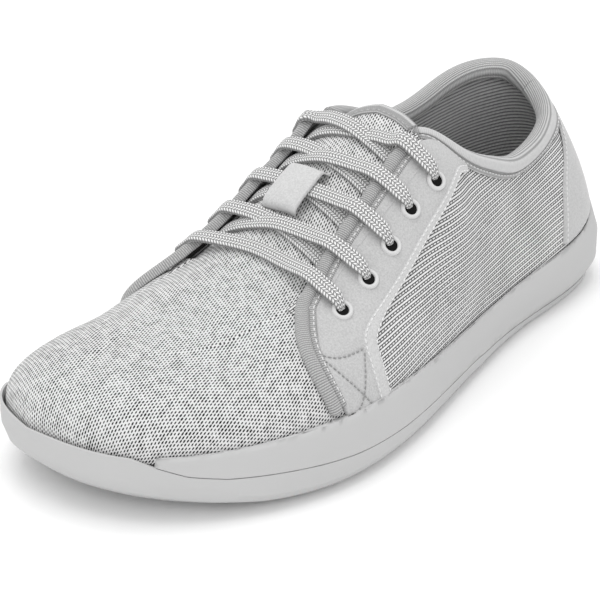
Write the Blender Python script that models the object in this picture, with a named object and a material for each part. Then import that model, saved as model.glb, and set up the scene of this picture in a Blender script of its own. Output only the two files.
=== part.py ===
"""Low barefoot lace-up shoe for the left foot: wide thin sole, knitted upper, tongue and flat laces."""
import math

import bmesh
import bpy
import numpy as np

# Plan outline of the sole in metres: x from heel to toe, y to the outer side
OUTLINE = (
    ("heel back", -0.0025, 0.0005),
    ("heel back outer", 0.0035, 0.0220),
    ("heel outer", 0.0280, 0.0330),
    ("heel seat outer", 0.0640, 0.0365),
    ("waist outer", 0.1140, 0.0460),
    ("tread outer", 0.1680, 0.0600),
    ("ball outer", 0.2030, 0.0630),
    ("small toe", 0.2380, 0.0545),
    ("fourth toe", 0.2660, 0.0370),
    ("front outer", 0.2860, 0.0110),
    ("toe tip", 0.2905, -0.0130),
    ("front inner", 0.2845, -0.0340),
    ("big toe", 0.2625, -0.0475),
    ("big toe joint", 0.2250, -0.0530),
    ("ball inner", 0.1930, -0.0515),
    ("tread inner", 0.1500, -0.0430),
    ("waist inner", 0.1100, -0.0365),
    ("heel seat inner", 0.0650, -0.0365),
    ("heel inner", 0.0290, -0.0325),
    ("heel back inner", 0.0055, -0.0200),
)

# Sides of the shoe
OUTER, INNER = 1, -1

# Collar rows of the upper: name, foot share, edge x, y, z, flare, rise, slope, cap
COLLAR_ROWS = {
    OUTER: (
        ("heel back", 0.000, 0.0142, -0.0074, 0.0780, 1, 0.36, 72, 0.31),
        ("heel turn", 0.050, 0.0180, 0.0003, 0.0760, 1, 0.36, 62, 0.33),
        ("heel corner", 0.100, 0.0247, 0.0084, 0.0738, 2, 0.36, 58, 0.34),
        ("heel side", 0.150, 0.0350, 0.0147, 0.0716, 5, 0.36, 68, 0.35),
        ("collar rear", 0.190, 0.0466, 0.0192, 0.0702, 6, 0.38, 82, 0.30),
        ("collar dip", 0.235, 0.0600, 0.0222, 0.0692, 5, 0.38, 80, 0.30),
        ("collar low", 0.275, 0.0735, 0.0247, 0.0708, 4, 0.38, 78, 0.30),
        ("collar rise", 0.310, 0.0870, 0.0258, 0.0760, 3, 0.38, 70, 0.32),
        ("collar front", 0.355, 0.1050, 0.0255, 0.0858, 2, 0.40, 60, 0.34),
    ),
    INNER: (
        ("heel back", 0.000, 0.0142, -0.0074, 0.0780, 1, 0.36, 72, 0.31),
        ("heel turn", 0.050, 0.0136, -0.0140, 0.0803, 1, 0.36, 76, 0.32),
        ("heel corner", 0.090, 0.0160, -0.0207, 0.0826, 3, 0.36, 84, 0.30),
        ("heel side", 0.130, 0.0225, -0.0258, 0.0838, 3, 0.36, 84, 0.30),
        ("collar rear", 0.175, 0.0320, -0.0300, 0.0835, 3, 0.38, 86, 0.30),
        ("collar turn", 0.220, 0.0440, -0.0323, 0.0812, 3, 0.38, 84, 0.30),
        ("collar dip", 0.270, 0.0600, -0.0330, 0.0765, 3, 0.38, 80, 0.30),
        ("collar rise", 0.330, 0.0830, -0.0325, 0.0762, 3, 0.38, 72, 0.32),
        ("collar front", 0.385, 0.1050, -0.0310, 0.0860, 2, 0.40, 62, 0.34),
    ),
}

# Ridge rows: name, outer foot, inner foot, x, y, z, outer gap, inner gap, flare, rise, cap
RIDGE_ROWS = (
    ("tongue top", 0.365, 0.395, 0.1135, -0.0030, 0.1075, 0.0190, 0.0225, 1, 0.42, 0.44),
    ("facing top", 0.405, 0.430, 0.1235, -0.0030, 0.1010, 0.0197, 0.0235, 1, 0.42, 0.45),
    ("facing upper", 0.455, 0.475, 0.1400, -0.0032, 0.0925, 0.0196, 0.0228, 2, 0.42, 0.46),
    ("facing middle", 0.510, 0.530, 0.1560, -0.0035, 0.0825, 0.0220, 0.0238, 3, 0.42, 0.47),
    ("facing low", 0.560, 0.585, 0.1720, -0.0038, 0.0715, 0.0240, 0.0252, 4, 0.42, 0.49),
    ("throat foot", 0.610, 0.640, 0.1880, -0.0045, 0.0620, 0.0285, 0.0285, 7, 0.42, 0.51),
    ("vamp", 0.670, 0.700, 0.2050, -0.0060, 0.0550, 0.0285, 0.0280, 9, 0.42, 0.53),
    ("ball", 0.735, 0.760, 0.2210, -0.0080, 0.0502, 0.0260, 0.0240, 12, 0.43, 0.54),
    ("toes", 0.810, 0.825, 0.2360, -0.0105, 0.0478, 0.0190, 0.0170, 17, 0.46, 0.56),
    ("toe top", 0.900, 0.905, 0.2470, -0.0120, 0.0468, 0.0100, 0.0090, 24, 0.48, 0.57),
    ("toe tip", 1.000, 1.000, 0.2510, -0.0125, 0.0465, 0.0040, 0.0040, 26, 0.48, 0.57),
)

# Height of the sole's upper edge over each half of the outline: share, height
RIM_ROWS = (
    (0.00, 0.0385), (0.05, 0.0362), (0.10, 0.0303), (0.16, 0.0262), (0.25, 0.0240),
    (0.38, 0.0238), (0.55, 0.0270), (0.70, 0.0275), (0.85, 0.0270), (1.00, 0.0290),
)

# How far the feather edge stands inside the outline, and its height
UPPER_INSET = 0.0040
FEATHER_HEIGHT = 0.0085
WALL_STEPS = 16
RIDGE_STEPS = 10
UP = np.array([0.0, 0.0, 1.0])


def cubic_spline(knots, values, at, closed=False):
    """Values of the smooth cubic curve through the knots; a closed curve repeats its first value."""
    knots, values, at = np.asarray(knots, float), np.asarray(values, float), np.asarray(at, float)
    form = values.shape[1:]
    values = values.reshape(len(knots), -1)
    step = np.diff(knots)
    rise = np.diff(values, axis=0) / step[:, None]
    count = len(knots)
    system = np.zeros((count, count))
    right = np.zeros_like(values)
    for i in range(1, count - 1):
        system[i, i - 1:i + 2] = 1 / step[i - 1], 2 / step[i - 1] + 2 / step[i], 1 / step[i]
        right[i] = 3 * (rise[i - 1] / step[i - 1] + rise[i] / step[i])
    if closed:
        system[0, 0], system[0, 1], system[0, -2] = 2 / step[0] + 2 / step[-1], 1 / step[0], 1 / step[-1]
        right[0] = 3 * (rise[0] / step[0] + rise[-1] / step[-1])
        system[-1, 0], system[-1, -1] = 1, -1
        at = knots[0] + (at - knots[0]) % (knots[-1] - knots[0])
    else:
        system[0, 0:2], right[0] = (2, 1), 3 * rise[0]
        system[-1, -2:], right[-1] = (1, 2), 3 * rise[-1]
    slope = np.linalg.solve(system, right)
    place = at.ravel()
    i = np.clip(np.searchsorted(knots, place, side="right") - 1, 0, count - 2)
    h, t = step[i][:, None], ((place - knots[i]) / step[i])[:, None]
    curve = (values[i] * (1 + 2 * t) * (1 - t) ** 2 + values[i + 1] * t * t * (3 - 2 * t)
             + h * slope[i] * t * (1 - t) ** 2 - h * slope[i + 1] * t * t * (1 - t))
    return curve.reshape(at.shape + form)


def make_outline():
    """Dense plan outline, its run from the heel back round the outer side, and the run at the toe tip."""
    corner = np.array([(x, y) for _, x, y in OUTLINE] + [OUTLINE[0][1:]])
    knots = np.r_[0, np.cumsum(np.linalg.norm(np.diff(corner, axis=0), axis=1))]
    fine = np.linspace(0, knots[-1], 1441)
    path = cubic_spline(knots, corner, fine, closed=True)
    run = np.r_[0, np.cumsum(np.linalg.norm(np.diff(path, axis=0), axis=1))]
    tip = [name for name, _, _ in OUTLINE].index("toe tip")
    return path, run, np.interp(knots[tip], fine, run)


PATH, RUN, TOE_RUN = make_outline()
X_MID = (PATH[:, 0].min() + PATH[:, 0].max()) / 2
Y_MID = (PATH[:, 1].min() + PATH[:, 1].max()) / 2


def outline(side, share):
    """Point and outward normal in plan at a share of the way from heel back to toe tip along one side."""
    share = np.asarray(share, float)
    run = share * TOE_RUN if side > 0 else RUN[-1] - share * (RUN[-1] - TOE_RUN)

    def at(place):
        return np.stack([np.interp(place % RUN[-1], RUN, PATH[:, k]) for k in (0, 1)], -1)

    tangent = at(run + 0.002) - at(run - 0.002)
    tangent /= np.linalg.norm(tangent, axis=-1, keepdims=True)
    return at(run), np.stack([-tangent[..., 1], tangent[..., 0]], -1)


def rim_height(share):
    """Height of the sole's upper edge."""
    table = np.array(RIM_ROWS)
    return cubic_spline(table[:, 0], table[:, 1], share)


def spring(x):
    """Lift of the sole's underside toward the toe tip."""
    return 0.0105 * np.clip((x - 0.200) / 0.091, 0, 1) ** 2.2


def section(side, foot, top, flare, rise, slope, cap):
    """Fine curve of one section, from the feather edge up to the collar edge or the ridge."""
    plan, normal = outline(side, foot)
    plan = plan - UPPER_INSET * normal
    start = np.array([*plan, FEATHER_HEIGHT + spring(plan[0])])
    end, out = np.array(top), np.array([*normal, 0.0])
    reach = np.linalg.norm(end - start)
    away = (start - end) * (1, 1, 0)
    away /= np.linalg.norm(away)
    lean, fall = math.radians(flare), math.radians(slope)
    first = start + rise * reach * (UP * math.cos(lean) + out * math.sin(lean))
    second = end + cap * reach * (away * math.cos(fall) - UP * math.sin(fall))
    v = np.linspace(0, 1, 161)[:, None]
    return start * (1 - v) ** 3 + 3 * first * v * (1 - v) ** 2 + 3 * second * v * v * (1 - v) + end * v ** 3


def even(points, count):
    """The same curve as evenly spaced points."""
    run = np.r_[0, np.cumsum(np.linalg.norm(np.diff(points, axis=0), axis=1))]
    at = np.linspace(0, run[-1], count + 1)
    return np.stack([np.interp(at, run, points[:, k]) for k in range(3)], -1)


def side_rows(side):
    """Places, feet and wall points of one side's rows, and places and points beyond the throat edge."""
    places, feet, walls, ridge_places, ridges = [], [], [], [], []
    for _, foot, x, y, z, flare, rise, slope, cap in COLLAR_ROWS[side]:
        places.append(foot)
        feet.append(foot)
        walls.append(even(section(side, foot, (x, y, z), flare, rise, slope, cap), WALL_STEPS))
    for name, outer_foot, inner_foot, x, y, z, outer_gap, inner_gap, flare, rise, cap in RIDGE_ROWS:
        foot, gap = (outer_foot, outer_gap) if side > 0 else (inner_foot, inner_gap)
        curve = section(side, foot, (x, y, z), flare, rise, 0, cap)
        far = np.linalg.norm(curve[:, :2] - curve[-1, :2], axis=1)
        cut = np.interp(-gap, -far, np.arange(len(curve)))
        k = int(cut)
        edge = curve[k] + (cut - k) * (curve[k + 1] - curve[k])
        place = (outer_foot + inner_foot) / 2
        ridge_places.append(place)
        ridges.append(even(np.vstack([edge, curve[k + 1:]]), RIDGE_STEPS))
        if name != "tongue top":
            places.append(place)
            feet.append(foot)
            walls.append(even(np.vstack([curve[:k + 1], edge]), WALL_STEPS))
    return np.array(places), np.array(feet), np.array(walls), np.array(ridge_places), np.array(ridges)


ROWS = {side: side_rows(side) for side in (OUTER, INNER)}
RIDGE_PLACE = {name: (a + b) / 2 for name, a, b, *_ in RIDGE_ROWS}
TONGUE_TOP, THROAT_TOP, THROAT_FOOT = (RIDGE_PLACE[k] for k in ("tongue top", "facing top", "throat foot"))


def surface(side, place, v):
    """Grid on the upper's outer face: v 0 at the feather edge, 1 at collar or throat, 2 at the ridge."""
    places, _, walls, ridge_places, ridges = ROWS[side]
    v = np.asarray(v, float)
    low = np.moveaxis(cubic_spline(places, walls, place), 1, 0)
    low = cubic_spline(np.linspace(0, 1, WALL_STEPS + 1), low, np.minimum(v, 1))
    if v.max() > 1:
        high = np.moveaxis(cubic_spline(ridge_places, ridges, place), 1, 0)
        high = cubic_spline(np.linspace(1, 2, RIDGE_STEPS + 1), high, np.maximum(v, 1))
        low = np.where((v > 1)[:, None, None], high, low)
    return np.moveaxis(low, 0, 1)

# Height of the parting line between outsole and midsole: share, height
GROOVE_ROWS = (
    (0.00, 0.0035), (0.15, 0.0035), (0.25, 0.0044), (0.32, 0.0065), (0.38, 0.0085),
    (0.46, 0.0098), (0.56, 0.0110), (0.64, 0.0125), (0.72, 0.0150), (0.79, 0.0168),
    (0.83, 0.0192), (0.86, 0.0232), (0.872, 0.0271), (0.92, 0.0278), (1.00, 0.0290),
)

# How far the outsole's lower edge stands in under heel and toe: share, inset
UNDERCUT_ROWS = (
    (0.00, 0.0050), (0.15, 0.0045), (0.25, 0.0030), (0.36, 0.0004), (0.50, 0.0), (0.89, 0.0), (1.00, 0.0014),
)

# Width of the rounding under the outsole's edge: share, width
ROUNDING_ROWS = (
    (0.00, 0.0030), (0.20, 0.0030), (0.34, 0.0095), (0.55, 0.0115), (0.75, 0.0130), (0.90, 0.0140),
    (1.00, 0.0140),
)

# Gap between pieces, wall of the upper, thickness of the outsole and height of the platform under the insole
GAP = 0.00035
WALL = 0.0018
FLOOR = 0.0040
PLATFORM = 0.0080

# Share of the outline from which the outsole's wall reaches the upper and covers the toe
TOE_CAP = 0.86001

# Thickness of the outsole's wall: share, thickness
BUMPER_ROWS = ((0.00, 0.0013), (0.78, 0.0013), (0.84, 0.0009), (1.00, 0.0009))

# Binding tape from the sole up the front of the eyestay and along the throat: place, height share
TAPE_ROWS = (
    (0.675, 0.02), (0.679, 0.22), (0.6795, 0.38), (0.6765, 0.52), (0.673, 0.60), (0.665, 0.715),
    (0.653, 0.83), (0.640, 0.915), (0.620, 0.950), (0.590, 0.958), (0.540, 0.962), (0.480, 0.965),
    (0.424, 0.965),
)

# Edges of the eyestay: height share, front place, rear place
EYESTAY_ROWS = (
    (0.00, 0.6640, 0.5985), (0.186, 0.6680, 0.6027), (0.417, 0.6680, 0.5960), (0.460, 0.6675, 0.5893),
    (0.543, 0.6655, 0.5309), (0.626, 0.6615, 0.4741), (0.697, 0.6560, 0.4240), (0.86, 0.6420, 0.3810),
    (1.00, 0.6280, 0.3470),
)

# Edge of the heel counter: height share, place
COUNTER_ROWS = ((0.00, 0.176), (0.20, 0.170), (0.38, 0.163), (0.60, 0.150), (0.80, 0.125), (1.00, 0.095))

# Top edge of the tongue on each side: v, place
TONGUE_EDGE = {
    OUTER: ((1.00, 0.4100), (1.14, 0.4090), (1.50, 0.4065), (2.00, 0.4065)),
    INNER: ((1.00, 0.4500), (1.25, 0.4430), (1.475, 0.4315), (1.63, 0.4190), (1.83, 0.4107), (2.00, 0.4065)),
}

# Eyelets: name, place, v on the outer side, v on the inner side
EYELETS = (
    ("1", 0.4341, 0.7990, 0.8392), ("2", 0.4741, 0.7990, 0.8291), ("3", 0.5192, 0.7638, 0.7839),
    ("4", 0.5640, 0.7437, 0.7588), ("5", 0.6110, 0.7588, 0.7638),
)


def table_value(rows, share):
    """Smooth value of a two-column table."""
    table = np.array(rows)
    return np.interp(share, table[:, 0], table[:, 1])


def make_dense(side):
    """Fine grid of the outer face and its outward normals, with the v at which each place leaves the sole."""
    place, low_v, high_v = np.linspace(0, 1, 501), np.linspace(0, 1, 101), np.linspace(1, 2, 61)
    v = np.r_[low_v, high_v[1:]]
    points = surface(side, place, v)
    along = np.gradient(points, axis=0)
    low, high = np.gradient(points[:, :101], axis=1), np.gradient(points[:, 101:], axis=1)
    across = np.concatenate([low, high], axis=1)
    normals = side * np.cross(across, along)
    normals /= np.maximum(np.linalg.norm(normals, axis=-1, keepdims=True), 1e-12)
    places, feet = ROWS[side][:2]
    foot = cubic_spline(places, feet, place)
    leave = np.array([np.interp(rim_height(f) + GAP, points[i, :101, 2], low_v) for i, f in enumerate(foot)])
    length = np.linalg.norm(np.diff(points[:, :101], axis=1), axis=-1).sum(axis=1)
    return place, v, points, normals, foot, leave, length


DENSE = {side: make_dense(side) for side in (OUTER, INNER)}


def skin(side, place, v, lift=0.0):
    """Points above the outer face at single places; place, v and lift go together as arrays."""
    grid_place, grid_v, points, normals = DENSE[side][:4]
    place, v, lift = np.broadcast_arrays(np.asarray(place, float), v, lift)
    a = np.clip(place, 0, 1) * (len(grid_place) - 1)
    b = np.interp(v, grid_v, np.arange(len(grid_v)))
    i, j = np.minimum(a.astype(int), len(grid_place) - 2), np.minimum(b.astype(int), len(grid_v) - 2)
    s, t = (a - i)[..., None], (b - j)[..., None]

    def blend(field):
        low = field[i, j] * (1 - s) + field[i + 1, j] * s
        high = field[i, j + 1] * (1 - s) + field[i + 1, j + 1] * s
        return low * (1 - t) + high * t

    normal = blend(normals)
    normal /= np.linalg.norm(normal, axis=-1, keepdims=True)
    return blend(points) + lift[..., None] * normal, normal


def v_at(side, place, height):
    """The v at a share of the way from the sole's upper edge to the collar or throat edge."""
    leave = np.interp(place, DENSE[side][0], DENSE[side][5])
    return leave + np.asarray(height) * (1 - leave)


def wall_inset(side, share, z):
    """How far inside the outline the upper's outer face stands at height z."""
    grid_place, _, points, _, foot = DENSE[side][:5]
    out = []
    for s, height in zip(np.atleast_1d(share), np.broadcast_to(z, np.shape(np.atleast_1d(share)))):
        i = int(round(np.interp(s, foot, np.arange(len(foot)))))
        column = points[i, :101]
        k = np.interp(height, column[:, 2], np.arange(101))
        point = np.array([np.interp(k, np.arange(101), column[:, c]) for c in (0, 1)])
        edge, normal = outline(side, s)
        out.append(float(np.dot(edge - point, normal)))
    return np.array(out)


def loop(shares, inset, height):
    """Closed ring of points: outer side from heel to toe, then inner side back."""
    rows = []
    for side in (OUTER, INNER):
        edge, normal = outline(side, shares)
        inward = inset(side, shares) if callable(inset) else inset
        plan = edge - np.broadcast_to(inward, shares.shape)[:, None] * normal
        level = height(side, shares, plan) if callable(height) else np.broadcast_to(height, shares.shape)
        rows.append(np.column_stack([plan, level]))
    return np.vstack([rows[0], rows[1][-2:0:-1]])


def stack(rings):
    """Vertices and faces of a closed solid over a stack of rings from bottom to top."""
    count, half = len(rings[0]), len(rings[0]) // 2
    verts = np.vstack(rings)
    faces = []
    for level in range(len(rings) - 1):
        for i in range(count):
            j = (i + 1) % count
            a, b = level * count, (level + 1) * count
            faces.append((a + j, a + i, b + i, b + j))
    for base, flip in ((0, False), ((len(rings) - 1) * count, True)):
        for i in range(half):
            quad = [i, i + 1, (count - i - 1) % count, (count - i) % count]
            quad = [base + k for k in dict.fromkeys(quad)]
            faces.append(tuple(reversed(quad)) if flip else tuple(quad))
    return verts, faces


def slab(top, bottom, ring=False):
    """Vertices and faces of a closed solid between two grids of points; a ring closes the first direction."""
    n, m = top.shape[:2]
    verts = np.vstack([top.reshape(-1, 3), bottom.reshape(-1, 3)])
    faces = []
    for i in range(n if ring else n - 1):
        k = (i + 1) % n
        for j in range(m - 1):
            a, b, c, d = i * m + j, k * m + j, k * m + j + 1, i * m + j + 1
            faces += [(a, b, c, d), (d + n * m, c + n * m, b + n * m, a + n * m)]
        for j, flip in ((0, False), (m - 1, True)):
            a, b = i * m + j, k * m + j
            quad = (b, a, a + n * m, b + n * m)
            faces.append(tuple(reversed(quad)) if flip else quad)
    if not ring:
        for i, flip in ((0, True), (n - 1, False)):
            for j in range(m - 1):
                a, b = i * m + j, i * m + j + 1
                quad = (b, a, a + n * m, b + n * m)
                faces.append(tuple(reversed(quad)) if flip else quad)
    return verts, faces


def tube(path, across, upward, profiles):
    """Closed solid swept along a path with a profile of (across, upward) points at each of its places."""
    n, m = len(path), len(profiles[0])
    verts = []
    for point, a, u, profile in zip(path, across, upward, profiles):
        verts += [point + x * a + y * u for x, y in profile]
    faces = []
    for i in range(n - 1):
        for j in range(m):
            k = (j + 1) % m
            faces.append((i * m + j, i * m + k, (i + 1) * m + k, (i + 1) * m + j))
    faces.append(tuple(range(m - 1, -1, -1)))
    faces.append(tuple(range((n - 1) * m, n * m)))
    return np.array(verts), faces

# Shares of the sole's half outline at which its rings have points
SHARES = np.r_[
    np.linspace(0, 0.20, 8), np.linspace(0.20, 0.62, 10)[1:], np.linspace(0.62, 0.86, 9)[1:],
    0.86002, 0.872, 0.884, 0.890, 0.905, 0.925, 0.945, 0.965, 0.985, 1.0,
]

# Places of the upper's columns
UPPER_PLACES = np.r_[
    np.linspace(0, THROAT_TOP - 0.006, 16), THROAT_TOP,
    np.linspace(THROAT_TOP, THROAT_FOOT, 8)[1:], np.linspace(THROAT_FOOT, 1, 16)[1:],
]

# Share of the rim's height at which the sole's side is widest: share of the outline, share of the height
WIDEST_ROWS = ((0.00, 0.26), (0.12, 0.28), (0.24, 0.42), (0.36, 0.45), (1.00, 0.45))

# Width of the sole's upper edge outside the upper: share, width
LIP_ROWS = ((0.00, 0.0010), (0.10, 0.0012), (0.20, 0.0018), (1.00, 0.0018))

# Most that the sole's side leans in toward its upper edge: share, inset
TOP_INSET_ROWS = (
    (0.00, 0.0110), (0.08, 0.0085), (0.16, 0.0038), (0.24, 0.0022), (0.78, 0.0022), (0.88, 0.0010),
    (1.00, 0.0010),
)

# How far the collar roll stands to the inside: place, distance
TUCK_ROWS = ((0.00, 0.0019), (0.10, 0.0020), (0.16, 0.0014), (0.24, 0.0004), (0.30, 0.0), (1.00, 0.0))

# Tongue: lift of its face from the upper's outer face, thickness, place of its lower end
TONGUE_LIFT = -0.00275
TONGUE_THICK = 0.0028
TONGUE_FOOT = 0.668

# Flat lace: width and thickness
LACE_WIDTH = 0.0064
LACE_THICK = 0.0020


def outsole():
    """Bottom, its wall up to the parting line, and the toe bumper."""
    shares = SHARES
    edge, lip = table_value(UNDERCUT_ROWS, shares), lip_height(shares)
    width, wall = table_value(ROUNDING_ROWS, shares), table_value(BUMPER_ROWS, shares)

    def lifted(part):
        return lambda side, s, plan: part + spring(plan[:, 0])

    rings = [
        loop(shares, edge + width, lifted(0 * lip)),
        loop(shares, edge + 0.50 * width, lifted(0.13 * lip)),
        loop(shares, edge + 0.16 * width, lifted(0.46 * lip)),
    ]
    rings += outer_wall(shares, 0 * wall, 0.0)
    rings += outer_wall(shares, wall, 0.0002)[::-1]
    rings.append(loop(shares, seat(shares), lambda side, s, plan: seat_level(shares, plan)))
    return stack(rings)


def lip_height(shares):
    """Height at which the rounding under the outsole ends."""
    groove = table_value(GROOVE_ROWS, shares)
    return 0.62 * np.minimum(groove, 0.0100 + 0.0080 * np.clip((shares - 0.75) / 0.15, 0, 1))


def outer_wall(shares, inward, over_seat):
    """Three rings of the outsole's wall, from its lip up to the parting line, moved inward by a distance."""
    edge, groove = table_value(UNDERCUT_ROWS, shares), table_value(GROOVE_ROWS, shares)
    lip, heel = lip_height(shares), np.where(shares < 0.5, 1.0, 0.0)

    def level(side, s, plan):
        least = seat_level(shares, plan) + over_seat if over_seat else 0.0
        return np.maximum(np.minimum(lip + spring(plan[:, 0]), groove - 0.0008), least)

    def middle(side, s):
        return inward + edge * (0.35 + 0.65 * heel) + side_inset(side, s, (lip + groove) / 2)

    return [
        loop(shares, inward + edge, level),
        loop(shares, middle, lambda side, s, plan: 0.5 * (level(side, s, plan) + groove)),
        loop(shares, lambda side, s: inward + edge * heel + side_inset(side, s, groove), groove),
    ]


def seat(shares):
    """How far the edge of the midsole's seat in the outsole stands inside the outline."""
    width = table_value(ROUNDING_ROWS, shares)
    return table_value(UNDERCUT_ROWS, shares) + 0.0019 + 0.67 * np.maximum(width - 0.0095, 0)


def seat_level(shares, plan):
    """Height of the midsole's seat in the outsole."""
    return np.minimum(FLOOR + spring(plan[:, 0]), table_value(GROOVE_ROWS, shares) - 0.0010)


def midsole():
    """Sidewall above the parting line and the platform under the foot; at the toe only the platform."""
    shares = SHARES
    edge, groove = table_value(UNDERCUT_ROWS, shares), table_value(GROOVE_ROWS, shares)
    heel = np.where(shares < 0.5, 1.0, 0.0)
    rim = rim_height(shares)
    ledge = groove + GAP
    low = np.maximum(np.minimum(ledge + 0.25 * (rim - ledge), 0.0120), ledge + 0.0004)
    shown = np.where(shares < TOE_CAP, 1.0, 0.0)
    inward = table_value(BUMPER_ROWS, shares) + GAP + 0.0001

    def ring(step, inset, level):
        """One ring; at the toe it closes in to the platform's edge, step by step."""
        hidden = seat(shares) - 0.0010 + 0.00012 * step

        def height(side, s, plan):
            under = PLATFORM - 0.0012 + 0.0001 * step + spring(plan[:, 0])
            return shown * level + (1 - shown) * under

        return loop(shares, lambda side, s: shown * inset(side, s) + (1 - shown) * hidden, height)

    def side_at(level, under=0.0):
        return lambda side, s: under * edge + side_inset(side, s, level)

    def wall_at(level):
        return lambda side, s: wall_inset(side, s, level) - GAP - 0.0004

    def backed(part):
        """One of the two lower rings that follow the outsole's wall."""
        source = outer_wall(shares, inward, 0.0002 + GAP)[part]
        toe = ring(part - 1, side_at(rim), rim)
        return np.where(np.r_[shown, shown[-2:0:-1]][:, None] > 0.5, source, toe)

    foot = PLATFORM + 0.0055 + spring(outline(OUTER, shares)[0][:, 0])
    middle, cup, brow = 0.5 * (low + rim), foot + 0.38 * (rim - foot), foot + 0.72 * (rim - foot)
    return stack([
        loop(shares, seat(shares) + GAP, lambda side, s, plan: seat_level(shares, plan) + GAP),
        backed(0),
        backed(1),
        ring(1, lambda side, s: edge * heel + side_inset(side, s, groove) + inward + 0.0003, ledge),
        ring(2, side_at(ledge, 1.0), ledge),
        ring(3, side_at(low, 0.25), low),
        ring(4, side_at(middle), middle),
        ring(5, side_at(rim - 0.0016), rim - 0.0016),
        ring(6, lambda side, s: side_inset(side, s, rim) + 0.0006, rim),
        ring(7, wall_at(rim), rim),
        ring(8, wall_at(brow), brow),
        ring(9, wall_at(cup), cup),
        ring(10, wall_at(foot), foot),
        loop(shares, np.maximum(UPPER_INSET - GAP - 0.0001, edge * (1 - heel) + 0.0034),
             lambda side, s, plan: PLATFORM + spring(plan[:, 0])),
    ])


def side_inset(side, shares, level):
    """How far the sole's side stands inside the outline at a height, leaning in to its upper edge."""
    rim = rim_height(shares)
    lip = wall_inset(side, shares, rim) - GAP - table_value(LIP_ROWS, shares)
    top = np.minimum(lip, table_value(TOP_INSET_ROWS, shares))
    widest = table_value(WIDEST_ROWS, shares) * rim
    return top * np.clip((level - widest) / (rim - widest), 0, 1) ** 2


def insole():
    """Thin footbed inside the upper."""
    shares = np.linspace(0, 1, 25)
    base = lambda extra: (lambda side, s, plan: PLATFORM + extra + spring(plan[:, 0]))
    inset = UPPER_INSET + WALL + 0.0018
    return stack([
        loop(shares, inset, base(GAP)),
        loop(shares, inset, base(0.0022)),
        loop(shares, inset + 0.0012, base(0.0030)),
    ])


def upper():
    """Hollow upper: one wall of even thickness, open at collar, throat and underneath."""
    places = UPPER_PLACES
    low, high = np.r_[0, 0.07, np.linspace(0.17, 1, 8)], np.linspace(1, 2, 6)
    keys, verts, faces = {}, [], []

    def vertex(point):
        key = tuple(np.round(point, 6))
        if key not in keys:
            keys[key] = len(verts)
            verts.append(point)
        return keys[key]

    for side in (OUTER, INNER):
        grid = surface(side, places, np.r_[low, high[1:]])
        index = [[None] * grid.shape[1] for _ in places]
        for i, place in enumerate(places):
            for j in range(grid.shape[1]):
                if j < len(low) or place > THROAT_FOOT - 1e-6:
                    index[i][j] = vertex(grid[i, j])
        for i in range(len(places) - 1):
            for j in range(grid.shape[1] - 1):
                quad = [index[i][j], index[i + 1][j], index[i + 1][j + 1], index[i][j + 1]]
                if None in quad or len(set(quad)) < 3:
                    continue
                quad = list(dict.fromkeys(quad))
                faces.append(tuple(reversed(quad)) if side > 0 else tuple(quad))
    return thicken(np.array(verts), faces, WALL)


def thicken(verts, faces, thickness):
    """Closed wall from an open sheet, grown inward from its outer face."""
    normals = np.zeros_like(verts)
    for face in faces:
        ring = verts[list(face)]
        area = sum(np.cross(ring[k], ring[(k + 1) % len(ring)]) for k in range(len(ring)))
        normals[list(face)] += area / max(np.linalg.norm(area), 1e-12)
    normals /= np.linalg.norm(normals, axis=1, keepdims=True)
    count = len(verts)
    edges = {(face[k], face[(k + 1) % len(face)]) for face in faces for k in range(len(face))}
    solid = [tuple(face) for face in faces] + [tuple(k + count for k in reversed(face)) for face in faces]
    solid += [(b, a, a + count, b + count) for a, b in edges if (b, a) not in edges]
    return np.vstack([verts, verts - thickness * normals]), solid


def tape(side):
    """Raised binding tape up the front of the eyestay and along the throat."""
    rows = np.array(TAPE_ROWS)
    fine = cubic_spline(np.arange(len(rows)), rows, np.linspace(0, len(rows) - 1, 25))
    place, v = fine[:, 0], v_at(side, fine[:, 0], fine[:, 1])
    path, normal = skin(side, place, v, GAP)
    across = sweep_across(path, normal)
    profile = (
        (-0.0026, 0), (0.0026, 0), (0.0023, 0.0013), (0.0011, 0.0021), (-0.0011, 0.0021), (-0.0023, 0.0013),
    )
    return tube(path, across, normal, [profile] * len(path))


def sweep_across(path, normal):
    """Unit widths across a path on a surface."""
    along = np.gradient(path, axis=0)
    across = np.cross(along, normal)
    return across / np.linalg.norm(across, axis=1, keepdims=True)


def eyestay(side):
    """Panel that carries the eyelets, from the sole up to collar and throat."""
    rows = np.array(EYESTAY_ROWS)
    height = np.array([0.012, 0.186, 0.33, 0.417, 0.46, 0.543, 0.626, 0.697, 0.78, 0.86, 0.93, 1.0])
    front, rear = (np.interp(height, rows[:, 0], rows[:, k]) for k in (1, 2))
    s = np.linspace(0, 1, 8)
    place = front[:, None] + s[None, :] * (rear - front)[:, None]
    leave, length = (np.interp(place, DENSE[side][0], DENSE[side][k]) for k in (5, 6))
    blend = np.clip((place - THROAT_TOP + 0.02) / 0.03, 0, 1)
    margin = 0.0054 + 0.0009 * blend
    v = v_at(side, place, height[:, None] * (1 - margin / ((1 - leave) * length)))
    return slab(skin(side, place, v, GAP + 0.0012)[0], skin(side, place, v, GAP + 0.0005)[0])


def heel_counter():
    """Panel round the back of the heel, from the sole up to the collar."""
    rows = np.array(COUNTER_ROWS)
    height, across = np.linspace(0.045, 1, 7), np.linspace(-1, 1, 17)
    top, under = [], []
    for u in across:
        side = OUTER if u >= 0 else INNER
        place = abs(u) * np.interp(height, rows[:, 0], rows[:, 1])
        leave, length = (np.interp(place, DENSE[side][0], DENSE[side][k]) for k in (5, 6))
        v = v_at(side, place, height * (1 - 0.0052 / ((1 - leave) * length)))
        top.append(skin(side, place, v, GAP + 0.0009)[0])
        under.append(skin(side, place, v, GAP + 0.0001)[0])
    return slab(np.array(top), np.array(under))


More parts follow.
